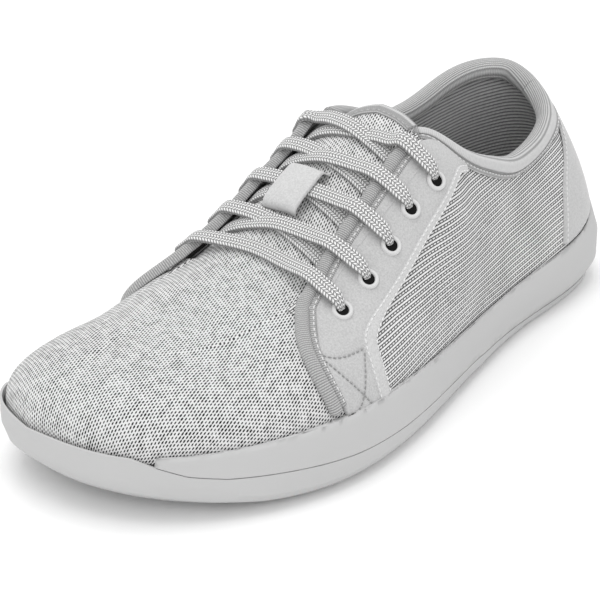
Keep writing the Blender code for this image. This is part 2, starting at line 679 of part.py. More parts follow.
def collar_roll():
    """Padded roll over the collar edge, from facing top round the heel to facing top."""
    outer = UPPER_PLACES[15::-1]
    path, normal, size, tuck = [], [], [], []
    for side, places in ((OUTER, outer), (INNER, outer[::-1][1:])):
        p, n = skin(side, places, 1.0, 0.0)
        path.append(p)
        normal.append(n)
        size.append(np.interp(places, (0.30, THROAT_TOP - 0.01), (1.0, 0.55)))
        tuck.append(table_value(TUCK_ROWS, places))
    path, normal, size = np.vstack(path), np.vstack(normal), np.r_[tuple(size)]
    along = np.gradient(path, axis=0)
    upward = np.cross(normal, along)
    upward /= np.linalg.norm(upward, axis=1, keepdims=True)
    upward *= np.sign(upward[:, 2:])
    normal = np.cross(along, upward)
    normal /= np.linalg.norm(normal, axis=1, keepdims=True)
    outward = np.vstack([skin(OUTER, outer, 1.0)[1], skin(INNER, outer[::-1][1:], 1.0)[1]])
    flip = np.sign((normal * outward).sum(axis=1))
    normal *= flip[:, None]
    profiles = [collar_profile(s, t) for s, t in zip(size, np.concatenate(tuck))]
    return tube(path, normal, upward, profiles)


def collar_profile(s, tuck):
    """Horseshoe over the wall's edge; s scales the padding, and tuck moves it to the inside."""
    inner, outer = -WALL - GAP - 0.0005, GAP + 0.0003
    face, back = 0.0029 * s - tuck, 0.0029 * s + 0.8 * tuck
    return (
        (outer, -0.0040 * s), (outer + 0.72 * face, -0.0036 * s), (outer + face, -0.0012 * s),
        (outer + 0.83 * face, 0.0016 * s), (-0.0009 - 0.5 * tuck, 0.0036 * s + 0.0003),
        (inner - 0.83 * back, 0.0016 * s),
        (inner - back, -0.0012 * s), (inner - 0.72 * back, -0.0036 * s), (inner, -0.0040 * s),
        (inner, 0.0004), (outer, 0.0004),
    )


def tongue_points(shares, lift, wide=0.006):
    """Grid across the tongue, outer side to inner side, from its top edge down, at a lift."""
    columns = []
    steps = np.array([0.0, 0.2, 0.45, 0.72, 1.0])

    def start_at(side, place):
        """The v at which the tongue's side edge runs."""
        length = np.interp(place, DENSE[side][0], DENSE[side][6])
        spread = np.interp(place, (THROAT_TOP - 0.007, THROAT_TOP + 0.03), (-0.12, 1.0))
        return np.where(spread > 0, 1 - spread * wide / length, 1 - spread)

    for side in (OUTER, INNER):
        rows = np.array(TONGUE_EDGE[side])
        corner = start_at(side, rows[0, 1])
        top = np.interp(corner + steps * (2 - corner), rows[:, 0], rows[:, 1])
        place = top[None, :] + shares[:, None] * (TONGUE_FOOT - top[None, :])
        start = start_at(side, place)
        columns.append(skin(side, place, start + steps[None, :] * (2 - start), lift)[0])
    outer, inner = columns
    return np.concatenate([outer, inner[:, -2::-1]], axis=1)


def tongue():
    """Tongue under the throat, reaching under the vamp."""
    shares = np.linspace(0, 1, 11)
    return slab(tongue_points(shares, TONGUE_LIFT), tongue_points(shares, TONGUE_LIFT - TONGUE_THICK))


def tongue_binding():
    """Binding over the tongue's top edge, up to where a lace covers it on the inner side."""
    grid = tongue_points(np.array([0, 0.045]), TONGUE_LIFT - TONGUE_THICK / 2)
    path, deeper = grid[0, :-2], grid[1, :-2]
    upward = path - deeper
    upward /= np.linalg.norm(upward, axis=1, keepdims=True)
    along = np.gradient(path, axis=0)
    across = np.cross(along, upward)
    across /= np.linalg.norm(across, axis=1, keepdims=True)
    upward = np.cross(across, along)
    upward /= np.linalg.norm(upward, axis=1, keepdims=True)
    upward *= np.sign((upward * (path - deeper)).sum(axis=1))[:, None]
    across *= np.sign(across[:, 2:])
    slot = TONGUE_THICK / 2 + GAP
    profile = (
        (slot, -0.0030), (slot + 0.0011, -0.0028), (slot + 0.0011, 0.0), (slot * 0.6, 0.0017),
        (-slot * 0.6, 0.0017), (-slot - 0.0011, 0.0), (-slot - 0.0011, -0.0028), (-slot, -0.0030),
        (-slot, GAP), (slot, GAP),
    )
    return tube(path, across, upward, [profile] * len(path))


def eyelet(side, place, v):
    """Flat ring on the eyestay."""
    centre, normal = skin(side, place, v, 2 * GAP + 0.00125)
    along = skin(side, place + 0.01, v, 0.0)[0] - skin(side, place, v, 0.0)[0]
    along -= normal * np.dot(along, normal)
    along /= np.linalg.norm(along)
    across = np.cross(normal, along)
    rings = []
    for radius, lift in ((0.0022, 0.0), (0.0041, 0.0), (0.0039, 0.0007), (0.0027, 0.0009)):
        turn = np.linspace(0, 2 * math.pi, 9, endpoint=False)
        spoke = np.cos(turn)[:, None] * along + np.sin(turn)[:, None] * across
        rings.append(centre + radius * spoke + lift * normal)
    verts = np.vstack(rings)
    faces = []
    for i in range(9):
        j = (i + 1) % 9
        for a in range(4):
            b = (a + 1) % 4
            faces.append((a * 9 + i, a * 9 + j, b * 9 + j, b * 9 + i))
    return verts, faces


def lace_path(from_side, start_place, start_v, end_place, end_v, upper_strip):
    """Run of one lace strip from beside one throat edge over the tongue to the eyelet of the other side."""
    far, near = from_side, -from_side
    if upper_strip:
        rows = (
            (far, start_v, -1.4), (far, 1.30, -1.4), (far, 1.65, -0.8), (far, 2.00, 0.4), (near, 1.70, 0.7),
            (near, 1.40, 1.4), (near, 1.18, 3.2), (near, 1.02, 4.5), (near, 0.5 + end_v / 2, 4.35),
            (near, end_v, 4.35),
        )
    else:
        rows = (
            (far, start_v, -1.4), (far, 1.30, -1.4), (far, 1.65, -1.3), (far, 2.00, -1.0), (near, 1.70, -0.9),
            (near, 1.40, 0.6), (near, 1.18, 3.0), (near, 1.02, 4.5), (near, 0.5 + end_v / 2, 4.35),
            (near, end_v, 4.35),
        )
    first = skin(far, start_place, start_v)[0]
    last = skin(near, end_place, end_v)[0]
    points, normals = [], []
    for side, v, lift in rows:
        place = start_place
        for _ in range(3):
            here = skin(side, place, v)[0]
            share = abs(here[1] - first[1]) / abs(last[1] - first[1])
            place = start_place + share * (end_place - start_place)
        p, n = skin(side, place, v, lift / 1000)
        points.append(p)
        normals.append(n)
    return np.array(points), np.array(normals)


def lace_strip(path, normal):
    """Flat lace of even width and thickness on a path."""
    across = sweep_across(path, normal)
    profile = ((-LACE_WIDTH / 2, -LACE_THICK / 2), (LACE_WIDTH / 2, -LACE_THICK / 2),
               (LACE_WIDTH / 2, LACE_THICK / 2), (-LACE_WIDTH / 2, LACE_THICK / 2))
    return tube(path, across, normal, [profile] * len(path))


def lace_bar():
    """Straight bar between the two lowest eyelets."""
    _, place, near, far = EYELETS[4]
    rows = [(OUTER, near, 4.35), (OUTER, 0.5 + near / 2, 4.35), (OUTER, 1.02, 4.3), (OUTER, 1.2, 2.4),
            (OUTER, 1.5, -0.4), (OUTER, 2.0, -1.2), (INNER, 1.5, -0.4), (INNER, 1.2, 2.4), (INNER, 1.02, 4.3),
            (INNER, 0.5 + far / 2, 4.35), (INNER, far, 4.35)]
    both = [skin(side, place, level, lift / 1000) for side, level, lift in rows]
    return lace_strip(np.array([p for p, _ in both]), np.array([n for _, n in both]))


def keeper():
    """Loop on the tongue that holds the middle crossing."""
    rows = (
        (0.5035, -2.4), (0.5075, -2.3), (0.5110, 1.6), (0.5240, 1.9), (0.5460, 1.9), (0.5575, 1.6),
        (0.5610, -2.3), (0.5640, -2.4),
    )
    over, under = [], []
    for k, (place, lift) in enumerate(rows):
        line = [(INNER, 1.57), (INNER, 1.78), (INNER, 2.0), (OUTER, 1.90), (OUTER, 1.80)]
        over.append([skin(side, place, v, (lift + 1.1) / 1000)[0] for side, v in line])
        under.append([skin(side, place, v, lift / 1000)[0] for side, v in line])
    return slab(np.array(over), np.array(under))


def build(name, made, material):
    """One named object from vertices and faces in the shoe's own sizes, turned with its toe to -Y."""
    verts, faces = made
    verts = np.asarray(verts)
    mesh = bpy.data.meshes.new(name)
    placed = [(y - Y_MID, X_MID - x, z) for x, y, z in verts]
    mesh.from_pydata(placed, [], [tuple(int(k) for k in face) for face in faces])
    shape = bmesh.new()
    shape.from_mesh(mesh)
    bmesh.ops.recalc_face_normals(shape, faces=shape.faces)
    shape.to_mesh(mesh)
    shape.free()
    thing = bpy.data.objects.new(name, mesh)
    bpy.context.scene.collection.objects.link(thing)
    thing.data.materials.append(material)
    return thing


def material(name, colour, roughness):
    """Plain principled material."""
    made = bpy.data.materials.new(name)
    made.use_nodes = True
    shader = made.node_tree.nodes["Principled BSDF"]
    shader.inputs["Base Color"].default_value = (*colour, 1)
    shader.inputs["Roughness"].default_value = roughness
    return made


def joined(first, second):
    """First object with the second one united into it."""
    union = first.modifiers.new("join", "BOOLEAN")
    union.operation, union.solver, union.object = "UNION", "EXACT", second
    ready = first.evaluated_get(bpy.context.evaluated_depsgraph_get())
    mesh = bpy.data.meshes.new_from_object(ready)
    first.modifiers.clear()
    first.data = mesh
    bpy.data.objects.remove(second, do_unlink=True)
    return first


def main():
    """All pieces of the shoe."""
    for thing in list(bpy.data.objects):
        bpy.data.objects.remove(thing, do_unlink=True)
    rubber = material("sole_rubber", (0.50, 0.50, 0.50), 0.75)
    foam = material("footbed_fabric", (0.42, 0.42, 0.42), 0.9)
    knit = material("upper_knit", (0.62, 0.62, 0.62), 0.9)
    nubuck = material("nubuck", (0.60, 0.60, 0.60), 0.9)
    binding = material("binding_knit", (0.38, 0.38, 0.38), 0.9)
    cord = material("lace_cord", (0.66, 0.66, 0.66), 0.85)
    ring = material("eyelet_paint", (0.60, 0.60, 0.60), 0.45)
    build("outsole", outsole(), rubber)
    build("midsole", midsole(), rubber)
    build("insole", insole(), foam)
    build("upper", upper(), knit)
    build("tongue", tongue(), knit)
    build("tongue_binding", tongue_binding(), binding)
    build("collar_roll", collar_roll(), binding)
    build("heel_counter", heel_counter(), nubuck)
    for side, word in ((OUTER, "outer"), (INNER, "inner")):
        build("eyestay_" + word, eyestay(side), nubuck)
        build("binding_" + word, tape(side), binding)
        for name, place, near, far in EYELETS:
            build("eyelet_" + word + "_" + name, eyelet(side, place, near if side == OUTER else far), ring)
    build("keeper", keeper(), nubuck)
    build("lace_bar", lace_bar(), cord)
    for k in range(4):
        _, place, near, far = EYELETS[k]
        start = (place + EYELETS[k + 1][1]) / 2
        to_outer = lace_strip(*lace_path(INNER, start, 1.13, place, near, k > 0))
        to_inner = lace_strip(*lace_path(OUTER, start, 1.13, place, far, k == 0))
        crossing = build("lace_cross_%d" % (k + 1), to_outer, cord)
        joined(crossing, build("lace_under_%d" % (k + 1), to_inner, cord))


main()
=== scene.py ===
"""Looks of a barefoot shoe, left foot: knit upper, nubuck panels, laces and sole in detail."""
import bmesh
import bpy
import math
import numpy as np
from mathutils import Matrix, Vector


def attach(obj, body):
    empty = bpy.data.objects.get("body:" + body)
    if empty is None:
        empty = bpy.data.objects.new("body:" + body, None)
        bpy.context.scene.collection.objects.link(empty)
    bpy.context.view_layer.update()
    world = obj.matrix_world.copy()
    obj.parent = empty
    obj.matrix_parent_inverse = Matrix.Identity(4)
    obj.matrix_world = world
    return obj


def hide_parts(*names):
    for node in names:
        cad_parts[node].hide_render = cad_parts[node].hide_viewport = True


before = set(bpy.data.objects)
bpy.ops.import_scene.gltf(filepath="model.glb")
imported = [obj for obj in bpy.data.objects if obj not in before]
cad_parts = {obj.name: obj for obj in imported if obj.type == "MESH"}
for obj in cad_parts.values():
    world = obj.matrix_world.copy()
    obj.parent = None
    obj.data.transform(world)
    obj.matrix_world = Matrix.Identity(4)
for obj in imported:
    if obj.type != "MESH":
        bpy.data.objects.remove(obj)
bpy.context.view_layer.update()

# Camera: azimuth, elevation, distance, aim x y z in mm, roll, focal length in photo pixels
CAMERA = (41.73, 27.41, 900.0, 168.32, 2.91, 39.3, 1.4, 2415.14)

# Plan outline of the sole in metres: x from heel to toe, y to the outer side
OUTLINE = (
    ("heel back", -0.0025, 0.0005),
    ("heel back outer", 0.0035, 0.0220),
    ("heel outer", 0.0280, 0.0330),
    ("heel seat outer", 0.0640, 0.0365),
    ("waist outer", 0.1140, 0.0460),
    ("tread outer", 0.1680, 0.0600),
    ("ball outer", 0.2030, 0.0630),
    ("small toe", 0.2380, 0.0545),
    ("fourth toe", 0.2660, 0.0370),
    ("front outer", 0.2860, 0.0110),
    ("toe tip", 0.2905, -0.0130),
    ("front inner", 0.2845, -0.0340),
    ("big toe", 0.2625, -0.0475),
    ("big toe joint", 0.2250, -0.0530),
    ("ball inner", 0.1930, -0.0515),
    ("tread inner", 0.1500, -0.0430),
    ("waist inner", 0.1100, -0.0365),
    ("heel seat inner", 0.0650, -0.0365),
    ("heel inner", 0.0290, -0.0325),
    ("heel back inner", 0.0055, -0.0200),
)

# Sides of the shoe
OUTER, INNER = 1, -1

# Collar rows of the upper: name, foot share, edge x, y, z, flare, rise, slope, cap
COLLAR_ROWS = {
    OUTER: (
        ("heel back", 0.000, 0.0142, -0.0074, 0.0780, 1, 0.36, 72, 0.31),
        ("heel turn", 0.050, 0.0180, 0.0003, 0.0760, 1, 0.36, 62, 0.33),
        ("heel corner", 0.100, 0.0247, 0.0084, 0.0738, 2, 0.36, 58, 0.34),
        ("heel side", 0.150, 0.0350, 0.0147, 0.0716, 5, 0.36, 68, 0.35),
        ("collar rear", 0.190, 0.0466, 0.0192, 0.0702, 6, 0.38, 82, 0.30),
        ("collar dip", 0.235, 0.0600, 0.0222, 0.0692, 5, 0.38, 80, 0.30),
        ("collar low", 0.275, 0.0735, 0.0247, 0.0708, 4, 0.38, 78, 0.30),
        ("collar rise", 0.310, 0.0870, 0.0258, 0.0760, 3, 0.38, 70, 0.32),
        ("collar front", 0.355, 0.1050, 0.0255, 0.0858, 2, 0.40, 60, 0.34),
    ),
    INNER: (
        ("heel back", 0.000, 0.0142, -0.0074, 0.0780, 1, 0.36, 72, 0.31),
        ("heel turn", 0.050, 0.0136, -0.0140, 0.0803, 1, 0.36, 76, 0.32),
        ("heel corner", 0.090, 0.0160, -0.0207, 0.0826, 3, 0.36, 84, 0.30),
        ("heel side", 0.130, 0.0225, -0.0258, 0.0838, 3, 0.36, 84, 0.30),
        ("collar rear", 0.175, 0.0320, -0.0300, 0.0835, 3, 0.38, 86, 0.30),
        ("collar turn", 0.220, 0.0440, -0.0323, 0.0812, 3, 0.38, 84, 0.30),
        ("collar dip", 0.270, 0.0600, -0.0330, 0.0765, 3, 0.38, 80, 0.30),
        ("collar rise", 0.330, 0.0830, -0.0325, 0.0762, 3, 0.38, 72, 0.32),
        ("collar front", 0.385, 0.1050, -0.0310, 0.0860, 2, 0.40, 62, 0.34),
    ),
}

# Ridge rows: name, outer foot, inner foot, x, y, z, outer gap, inner gap, flare, rise, cap
RIDGE_ROWS = (
    ("tongue top", 0.365, 0.395, 0.1135, -0.0030, 0.1075, 0.0190, 0.0225, 1, 0.42, 0.44),
    ("facing top", 0.405, 0.430, 0.1235, -0.0030, 0.1010, 0.0197, 0.0235, 1, 0.42, 0.45),
    ("facing upper", 0.455, 0.475, 0.1400, -0.0032, 0.0925, 0.0196, 0.0228, 2, 0.42, 0.46),
    ("facing middle", 0.510, 0.530, 0.1560, -0.0035, 0.0825, 0.0220, 0.0238, 3, 0.42, 0.47),
    ("facing low", 0.560, 0.585, 0.1720, -0.0038, 0.0715, 0.0240, 0.0252, 4, 0.42, 0.49),
    ("throat foot", 0.610, 0.640, 0.1880, -0.0045, 0.0620, 0.0285, 0.0285, 7, 0.42, 0.51),
    ("vamp", 0.670, 0.700, 0.2050, -0.0060, 0.0550, 0.0285, 0.0280, 9, 0.42, 0.53),
    ("ball", 0.735, 0.760, 0.2210, -0.0080, 0.0502, 0.0260, 0.0240, 12, 0.43, 0.54),
    ("toes", 0.810, 0.825, 0.2360, -0.0105, 0.0478, 0.0190, 0.0170, 17, 0.46, 0.56),
    ("toe top", 0.900, 0.905, 0.2470, -0.0120, 0.0468, 0.0100, 0.0090, 24, 0.48, 0.57),
    ("toe tip", 1.000, 1.000, 0.2510, -0.0125, 0.0465, 0.0040, 0.0040, 26, 0.48, 0.57),
)

# Height of the sole's upper edge over each half of the outline: share, height
RIM_ROWS = (
    (0.00, 0.0385), (0.05, 0.0362), (0.10, 0.0303), (0.16, 0.0262), (0.25, 0.0240),
    (0.38, 0.0238), (0.55, 0.0270), (0.70, 0.0275), (0.85, 0.0270), (1.00, 0.0290),
)

# How far the feather edge stands inside the outline, and its height
UPPER_INSET = 0.0040
FEATHER_HEIGHT = 0.0085
WALL_STEPS = 16
RIDGE_STEPS = 10
UP = np.array([0.0, 0.0, 1.0])


def cubic_spline(knots, values, at, closed=False):
    """Values of the smooth cubic curve through the knots; a closed curve repeats its first value."""
    knots, values, at = np.asarray(knots, float), np.asarray(values, float), np.asarray(at, float)
    form = values.shape[1:]
    values = values.reshape(len(knots), -1)
    step = np.diff(knots)
    rise = np.diff(values, axis=0) / step[:, None]
    count = len(knots)
    system = np.zeros((count, count))
    right = np.zeros_like(values)
    for i in range(1, count - 1):
        system[i, i - 1:i + 2] = 1 / step[i - 1], 2 / step[i - 1] + 2 / step[i], 1 / step[i]
        right[i] = 3 * (rise[i - 1] / step[i - 1] + rise[i] / step[i])
    if closed:
        system[0, 0], system[0, 1], system[0, -2] = 2 / step[0] + 2 / step[-1], 1 / step[0], 1 / step[-1]
        right[0] = 3 * (rise[0] / step[0] + rise[-1] / step[-1])
        system[-1, 0], system[-1, -1] = 1, -1
        at = knots[0] + (at - knots[0]) % (knots[-1] - knots[0])
    else:
        system[0, 0:2], right[0] = (2, 1), 3 * rise[0]
        system[-1, -2:], right[-1] = (1, 2), 3 * rise[-1]
    slope = np.linalg.solve(system, right)
    place = at.ravel()
    i = np.clip(np.searchsorted(knots, place, side="right") - 1, 0, count - 2)
    h, t = step[i][:, None], ((place - knots[i]) / step[i])[:, None]
    curve = (values[i] * (1 + 2 * t) * (1 - t) ** 2 + values[i + 1] * t * t * (3 - 2 * t)
             + h * slope[i] * t * (1 - t) ** 2 - h * slope[i + 1] * t * t * (1 - t))
    return curve.reshape(at.shape + form)


def make_outline():
    """Dense plan outline, its run from the heel back round the outer side, and the run at the toe tip."""
    corner = np.array([(x, y) for _, x, y in OUTLINE] + [OUTLINE[0][1:]])
    knots = np.r_[0, np.cumsum(np.linalg.norm(np.diff(corner, axis=0), axis=1))]
    fine = np.linspace(0, knots[-1], 1441)
    path = cubic_spline(knots, corner, fine, closed=True)
    run = np.r_[0, np.cumsum(np.linalg.norm(np.diff(path, axis=0), axis=1))]
    tip = [name for name, _, _ in OUTLINE].index("toe tip")
    return path, run, np.interp(knots[tip], fine, run)


PATH, RUN, TOE_RUN = make_outline()
X_MID = (PATH[:, 0].min() + PATH[:, 0].max()) / 2
Y_MID = (PATH[:, 1].min() + PATH[:, 1].max()) / 2


def outline(side, share):
    """Point and outward normal in plan at a share of the way from heel back to toe tip along one side."""
    share = np.asarray(share, float)
    run = share * TOE_RUN if side > 0 else RUN[-1] - share * (RUN[-1] - TOE_RUN)

    def at(place):
        return np.stack([np.interp(place % RUN[-1], RUN, PATH[:, k]) for k in (0, 1)], -1)

    tangent = at(run + 0.002) - at(run - 0.002)
    tangent /= np.linalg.norm(tangent, axis=-1, keepdims=True)
    return at(run), np.stack([-tangent[..., 1], tangent[..., 0]], -1)


def rim_height(share):
    """Height of the sole's upper edge."""
    table = np.array(RIM_ROWS)
    return cubic_spline(table[:, 0], table[:, 1], share)


def spring(x):
    """Lift of the sole's underside toward the toe tip."""
    return 0.0105 * np.clip((x - 0.200) / 0.091, 0, 1) ** 2.2


def section(side, foot, top, flare, rise, slope, cap):
    """Fine curve of one section, from the feather edge up to the collar edge or the ridge."""
    plan, normal = outline(side, foot)
    plan = plan - UPPER_INSET * normal
    start = np.array([*plan, FEATHER_HEIGHT + spring(plan[0])])
    end, out = np.array(top), np.array([*normal, 0.0])
    reach = np.linalg.norm(end - start)
    away = (start - end) * (1, 1, 0)
    away /= np.linalg.norm(away)
    lean, fall = math.radians(flare), math.radians(slope)
    first = start + rise * reach * (UP * math.cos(lean) + out * math.sin(lean))
    second = end + cap * reach * (away * math.cos(fall) - UP * math.sin(fall))
    v = np.linspace(0, 1, 161)[:, None]
    return start * (1 - v) ** 3 + 3 * first * v * (1 - v) ** 2 + 3 * second * v * v * (1 - v) + end * v ** 3


def even(points, count):
    """The same curve as evenly spaced points."""
    run = np.r_[0, np.cumsum(np.linalg.norm(np.diff(points, axis=0), axis=1))]
    at = np.linspace(0, run[-1], count + 1)
    return np.stack([np.interp(at, run, points[:, k]) for k in range(3)], -1)


def side_rows(side):
    """Places, feet and wall points of one side's rows, and places and points beyond the throat edge."""
    places, feet, walls, ridge_places, ridges = [], [], [], [], []
    for _, foot, x, y, z, flare, rise, slope, cap in COLLAR_ROWS[side]:
        places.append(foot)
        feet.append(foot)
        walls.append(even(section(side, foot, (x, y, z), flare, rise, slope, cap), WALL_STEPS))
    for name, outer_foot, inner_foot, x, y, z, outer_gap, inner_gap, flare, rise, cap in RIDGE_ROWS:
        foot, gap = (outer_foot, outer_gap) if side > 0 else (inner_foot, inner_gap)
        curve = section(side, foot, (x, y, z), flare, rise, 0, cap)
        far = np.linalg.norm(curve[:, :2] - curve[-1, :2], axis=1)
        cut = np.interp(-gap, -far, np.arange(len(curve)))
        k = int(cut)
        edge = curve[k] + (cut - k) * (curve[k + 1] - curve[k])
        place = (outer_foot + inner_foot) / 2
        ridge_places.append(place)
        ridges.append(even(np.vstack([edge, curve[k + 1:]]), RIDGE_STEPS))
        if name != "tongue top":
            places.append(place)
            feet.append(foot)
            walls.append(even(np.vstack([curve[:k + 1], edge]), WALL_STEPS))
    return np.array(places), np.array(feet), np.array(walls), np.array(ridge_places), np.array(ridges)


ROWS = {side: side_rows(side) for side in (OUTER, INNER)}
RIDGE_PLACE = {name: (a + b) / 2 for name, a, b, *_ in RIDGE_ROWS}
TONGUE_TOP, THROAT_TOP, THROAT_FOOT = (RIDGE_PLACE[k] for k in ("tongue top", "facing top", "throat foot"))


def surface(side, place, v):
    """Grid on the upper's outer face: v 0 at the feather edge, 1 at collar or throat, 2 at the ridge."""
    places, _, walls, ridge_places, ridges = ROWS[side]
    v = np.asarray(v, float)
    low = np.moveaxis(cubic_spline(places, walls, place), 1, 0)
    low = cubic_spline(np.linspace(0, 1, WALL_STEPS + 1), low, np.minimum(v, 1))
    if v.max() > 1:
        high = np.moveaxis(cubic_spline(ridge_places, ridges, place), 1, 0)
        high = cubic_spline(np.linspace(1, 2, RIDGE_STEPS + 1), high, np.maximum(v, 1))
        low = np.where((v > 1)[:, None, None], high, low)
    return np.moveaxis(low, 0, 1)

# Height of the parting line between outsole and midsole: share, height
GROOVE_ROWS = (
    (0.00, 0.0035), (0.15, 0.0035), (0.25, 0.0044), (0.32, 0.0065), (0.38, 0.0085),
    (0.46, 0.0098), (0.56, 0.0110), (0.64, 0.0125), (0.72, 0.0150), (0.79, 0.0168),
    (0.83, 0.0192), (0.86, 0.0232), (0.885, 0.0270), (0.92, 0.0278), (1.00, 0.0290),
)

# How far the outsole's lower edge stands in under heel and toe: share, inset
UNDERCUT_ROWS = (
    (0.00, 0.0050), (0.15, 0.0045), (0.25, 0.0030), (0.36, 0.0004), (0.50, 0.0), (0.89, 0.0),
    (1.00, 0.0014),
)

# Width of the rounding under the outsole's edge: share, width
ROUNDING_ROWS = (
    (0.00, 0.0030), (0.20, 0.0030), (0.34, 0.0095), (0.55, 0.0115), (0.75, 0.0130), (0.90, 0.0140),
    (1.00, 0.0140),
)

# Gap between pieces, wall of the upper, thickness of the outsole, height of the platform for the insole
GAP = 0.00035
WALL = 0.0018
FLOOR = 0.0040
PLATFORM = 0.0080

# Share of the outline from which the outsole's wall reaches the upper and covers the toe
TOE_CAP = 0.86001

# Thickness of the outsole's wall: share, thickness
BUMPER_ROWS = ((0.00, 0.0013), (0.78, 0.0013), (0.84, 0.0009), (1.00, 0.0009))

# Binding tape from the sole up the front of the eyestay and along the throat: place, height share
TAPE_ROWS = (
    (0.675, 0.02), (0.679, 0.22), (0.6795, 0.38), (0.6765, 0.52), (0.673, 0.60), (0.665, 0.715),
    (0.653, 0.83), (0.640, 0.915), (0.620, 0.950), (0.590, 0.958), (0.540, 0.962), (0.480, 0.965),
    (0.424, 0.965),
)

# Edges of the eyestay: height share, front place, rear place
EYESTAY_ROWS = (
    (0.00, 0.6640, 0.5985), (0.186, 0.6680, 0.6027), (0.417, 0.6680, 0.5960), (0.460, 0.6675, 0.5893),
    (0.543, 0.6655, 0.5309), (0.626, 0.6615, 0.4741), (0.697, 0.6560, 0.4240), (0.86, 0.6420, 0.3810),
    (1.00, 0.6280, 0.3470),
)

# Edge of the heel counter: height share, place
COUNTER_ROWS = ((0.00, 0.176), (0.20, 0.170), (0.38, 0.163), (0.60, 0.150), (0.80, 0.125), (1.00, 0.095))

# Top edge of the tongue on each side: v, place
TONGUE_EDGE = {
    OUTER: ((1.00, 0.4100), (1.14, 0.4090), (1.50, 0.4065), (2.00, 0.4065)),
    INNER: ((1.00, 0.4500), (1.25, 0.4430), (1.475, 0.4315), (1.63, 0.4190), (1.83, 0.4107), (2.00, 0.4065)),
}

# Eyelets: name, place, v on the outer side, v on the inner side
EYELETS = (
    ("1", 0.4341, 0.7990, 0.8392), ("2", 0.4741, 0.7990, 0.8291), ("3", 0.5192, 0.7638, 0.7839),
    ("4", 0.5640, 0.7437, 0.7588), ("5", 0.6110, 0.7588, 0.7638),
)


def table_value(rows, share):
    """Smooth value of a two-column table."""
    table = np.array(rows)
    return np.interp(share, table[:, 0], table[:, 1])


# Points of the dense grid up to the collar or throat edge, and from there to the ridge
LOW_STEPS, HIGH_STEPS = 101, 61


def make_dense(side):
    """Fine grid of the outer face: places, v, points, outward normals, places on the
    outline, the v at which each place leaves the sole, and the section's length."""
    place = np.linspace(0, 1, 501)
    low_v, high_v = np.linspace(0, 1, LOW_STEPS), np.linspace(1, 2, HIGH_STEPS)
    v = np.r_[low_v, high_v[1:]]
    points = surface(side, place, v)
    along = np.gradient(points, axis=0)
    low, high = (np.gradient(part, axis=1) for part in (points[:, :LOW_STEPS], points[:, LOW_STEPS:]))
    across = np.concatenate([low, high], axis=1)
    normals = side * np.cross(across, along)
    normals /= np.maximum(np.linalg.norm(normals, axis=-1, keepdims=True), 1e-12)
    places, feet = ROWS[side][:2]
    foot = cubic_spline(places, feet, place)
    walls = points[:, :LOW_STEPS]
    leave = np.array([np.interp(rim_height(f) + GAP, wall[:, 2], low_v) for f, wall in zip(foot, walls)])
    length = np.linalg.norm(np.diff(walls, axis=1), axis=-1).sum(axis=1)
    return place, v, points, normals, foot, leave, length


DENSE = {side: make_dense(side) for side in (OUTER, INNER)}


def lookup(side, field, place, v):
    """A field of the dense grid at single places."""
    grid_place, grid_v = DENSE[side][:2]
    place, v = np.broadcast_arrays(np.asarray(place, float), v)
    a = np.clip(place, 0, 1) * (len(grid_place) - 1)
    b = np.interp(v, grid_v, np.arange(len(grid_v)))
    i, j = np.minimum(a.astype(int), len(grid_place) - 2), np.minimum(b.astype(int), len(grid_v) - 2)
    s, t = (a - i)[..., None], (b - j)[..., None]
    low = field[i, j] * (1 - s) + field[i + 1, j] * s
    high = field[i, j + 1] * (1 - s) + field[i + 1, j + 1] * s
    return low * (1 - t) + high * t


def skin(side, place, v, lift=0.0):
    """Points above the outer face at single places; place, v and lift go together as arrays."""
    place, v, lift = np.broadcast_arrays(np.asarray(place, float), v, lift)
    normal = lookup(side, DENSE[side][3], place, v)
    normal /= np.linalg.norm(normal, axis=-1, keepdims=True)
    return lookup(side, DENSE[side][2], place, v) + lift[..., None] * normal, normal


def leave_at(side, place):
    """The v at which the upper leaves the sole."""
    return np.interp(place, DENSE[side][0], DENSE[side][5])


def v_at(side, place, height):
    """The v at a share of the way from the sole's upper edge to the collar or throat edge."""
    leave = leave_at(side, place)
    return leave + np.asarray(height) * (1 - leave)


def below_edge(side, place, height, margin):
    """The v at a height share, with the top a margin in metres below the collar or throat edge."""
    length = np.interp(place, DENSE[side][0], DENSE[side][6])
    return v_at(side, place, height * (1 - margin / ((1 - leave_at(side, place)) * length)))


def wall_inset(side, share, z):
    """How far inside the outline the upper's outer face stands at height z."""
    points, foot = DENSE[side][2], DENSE[side][4]
    out = []
    for s, height in zip(np.atleast_1d(share), np.broadcast_to(z, np.shape(np.atleast_1d(share)))):
        i = int(round(np.interp(s, foot, np.arange(len(foot)))))
        column, steps = points[i, :LOW_STEPS], np.arange(LOW_STEPS)
        k = np.interp(height, column[:, 2], steps)
        point = np.array([np.interp(k, steps, column[:, c]) for c in (0, 1)])
        edge, normal = outline(side, s)
        out.append(float(np.dot(edge - point, normal)))
    return np.array(out)


def loop(shares, inset, height):
    """Closed ring of points: outer side from heel to toe, then inner side back."""
    rows = []
    for side in (OUTER, INNER):
        edge, normal = outline(side, shares)
        inward = inset(side, shares) if callable(inset) else inset
        plan = edge - np.broadcast_to(inward, shares.shape)[:, None] * normal
        level = height(side, shares, plan) if callable(height) else np.broadcast_to(height, shares.shape)
        rows.append(np.column_stack([plan, level]))
    return np.vstack([rows[0], rows[1][-2:0:-1]])


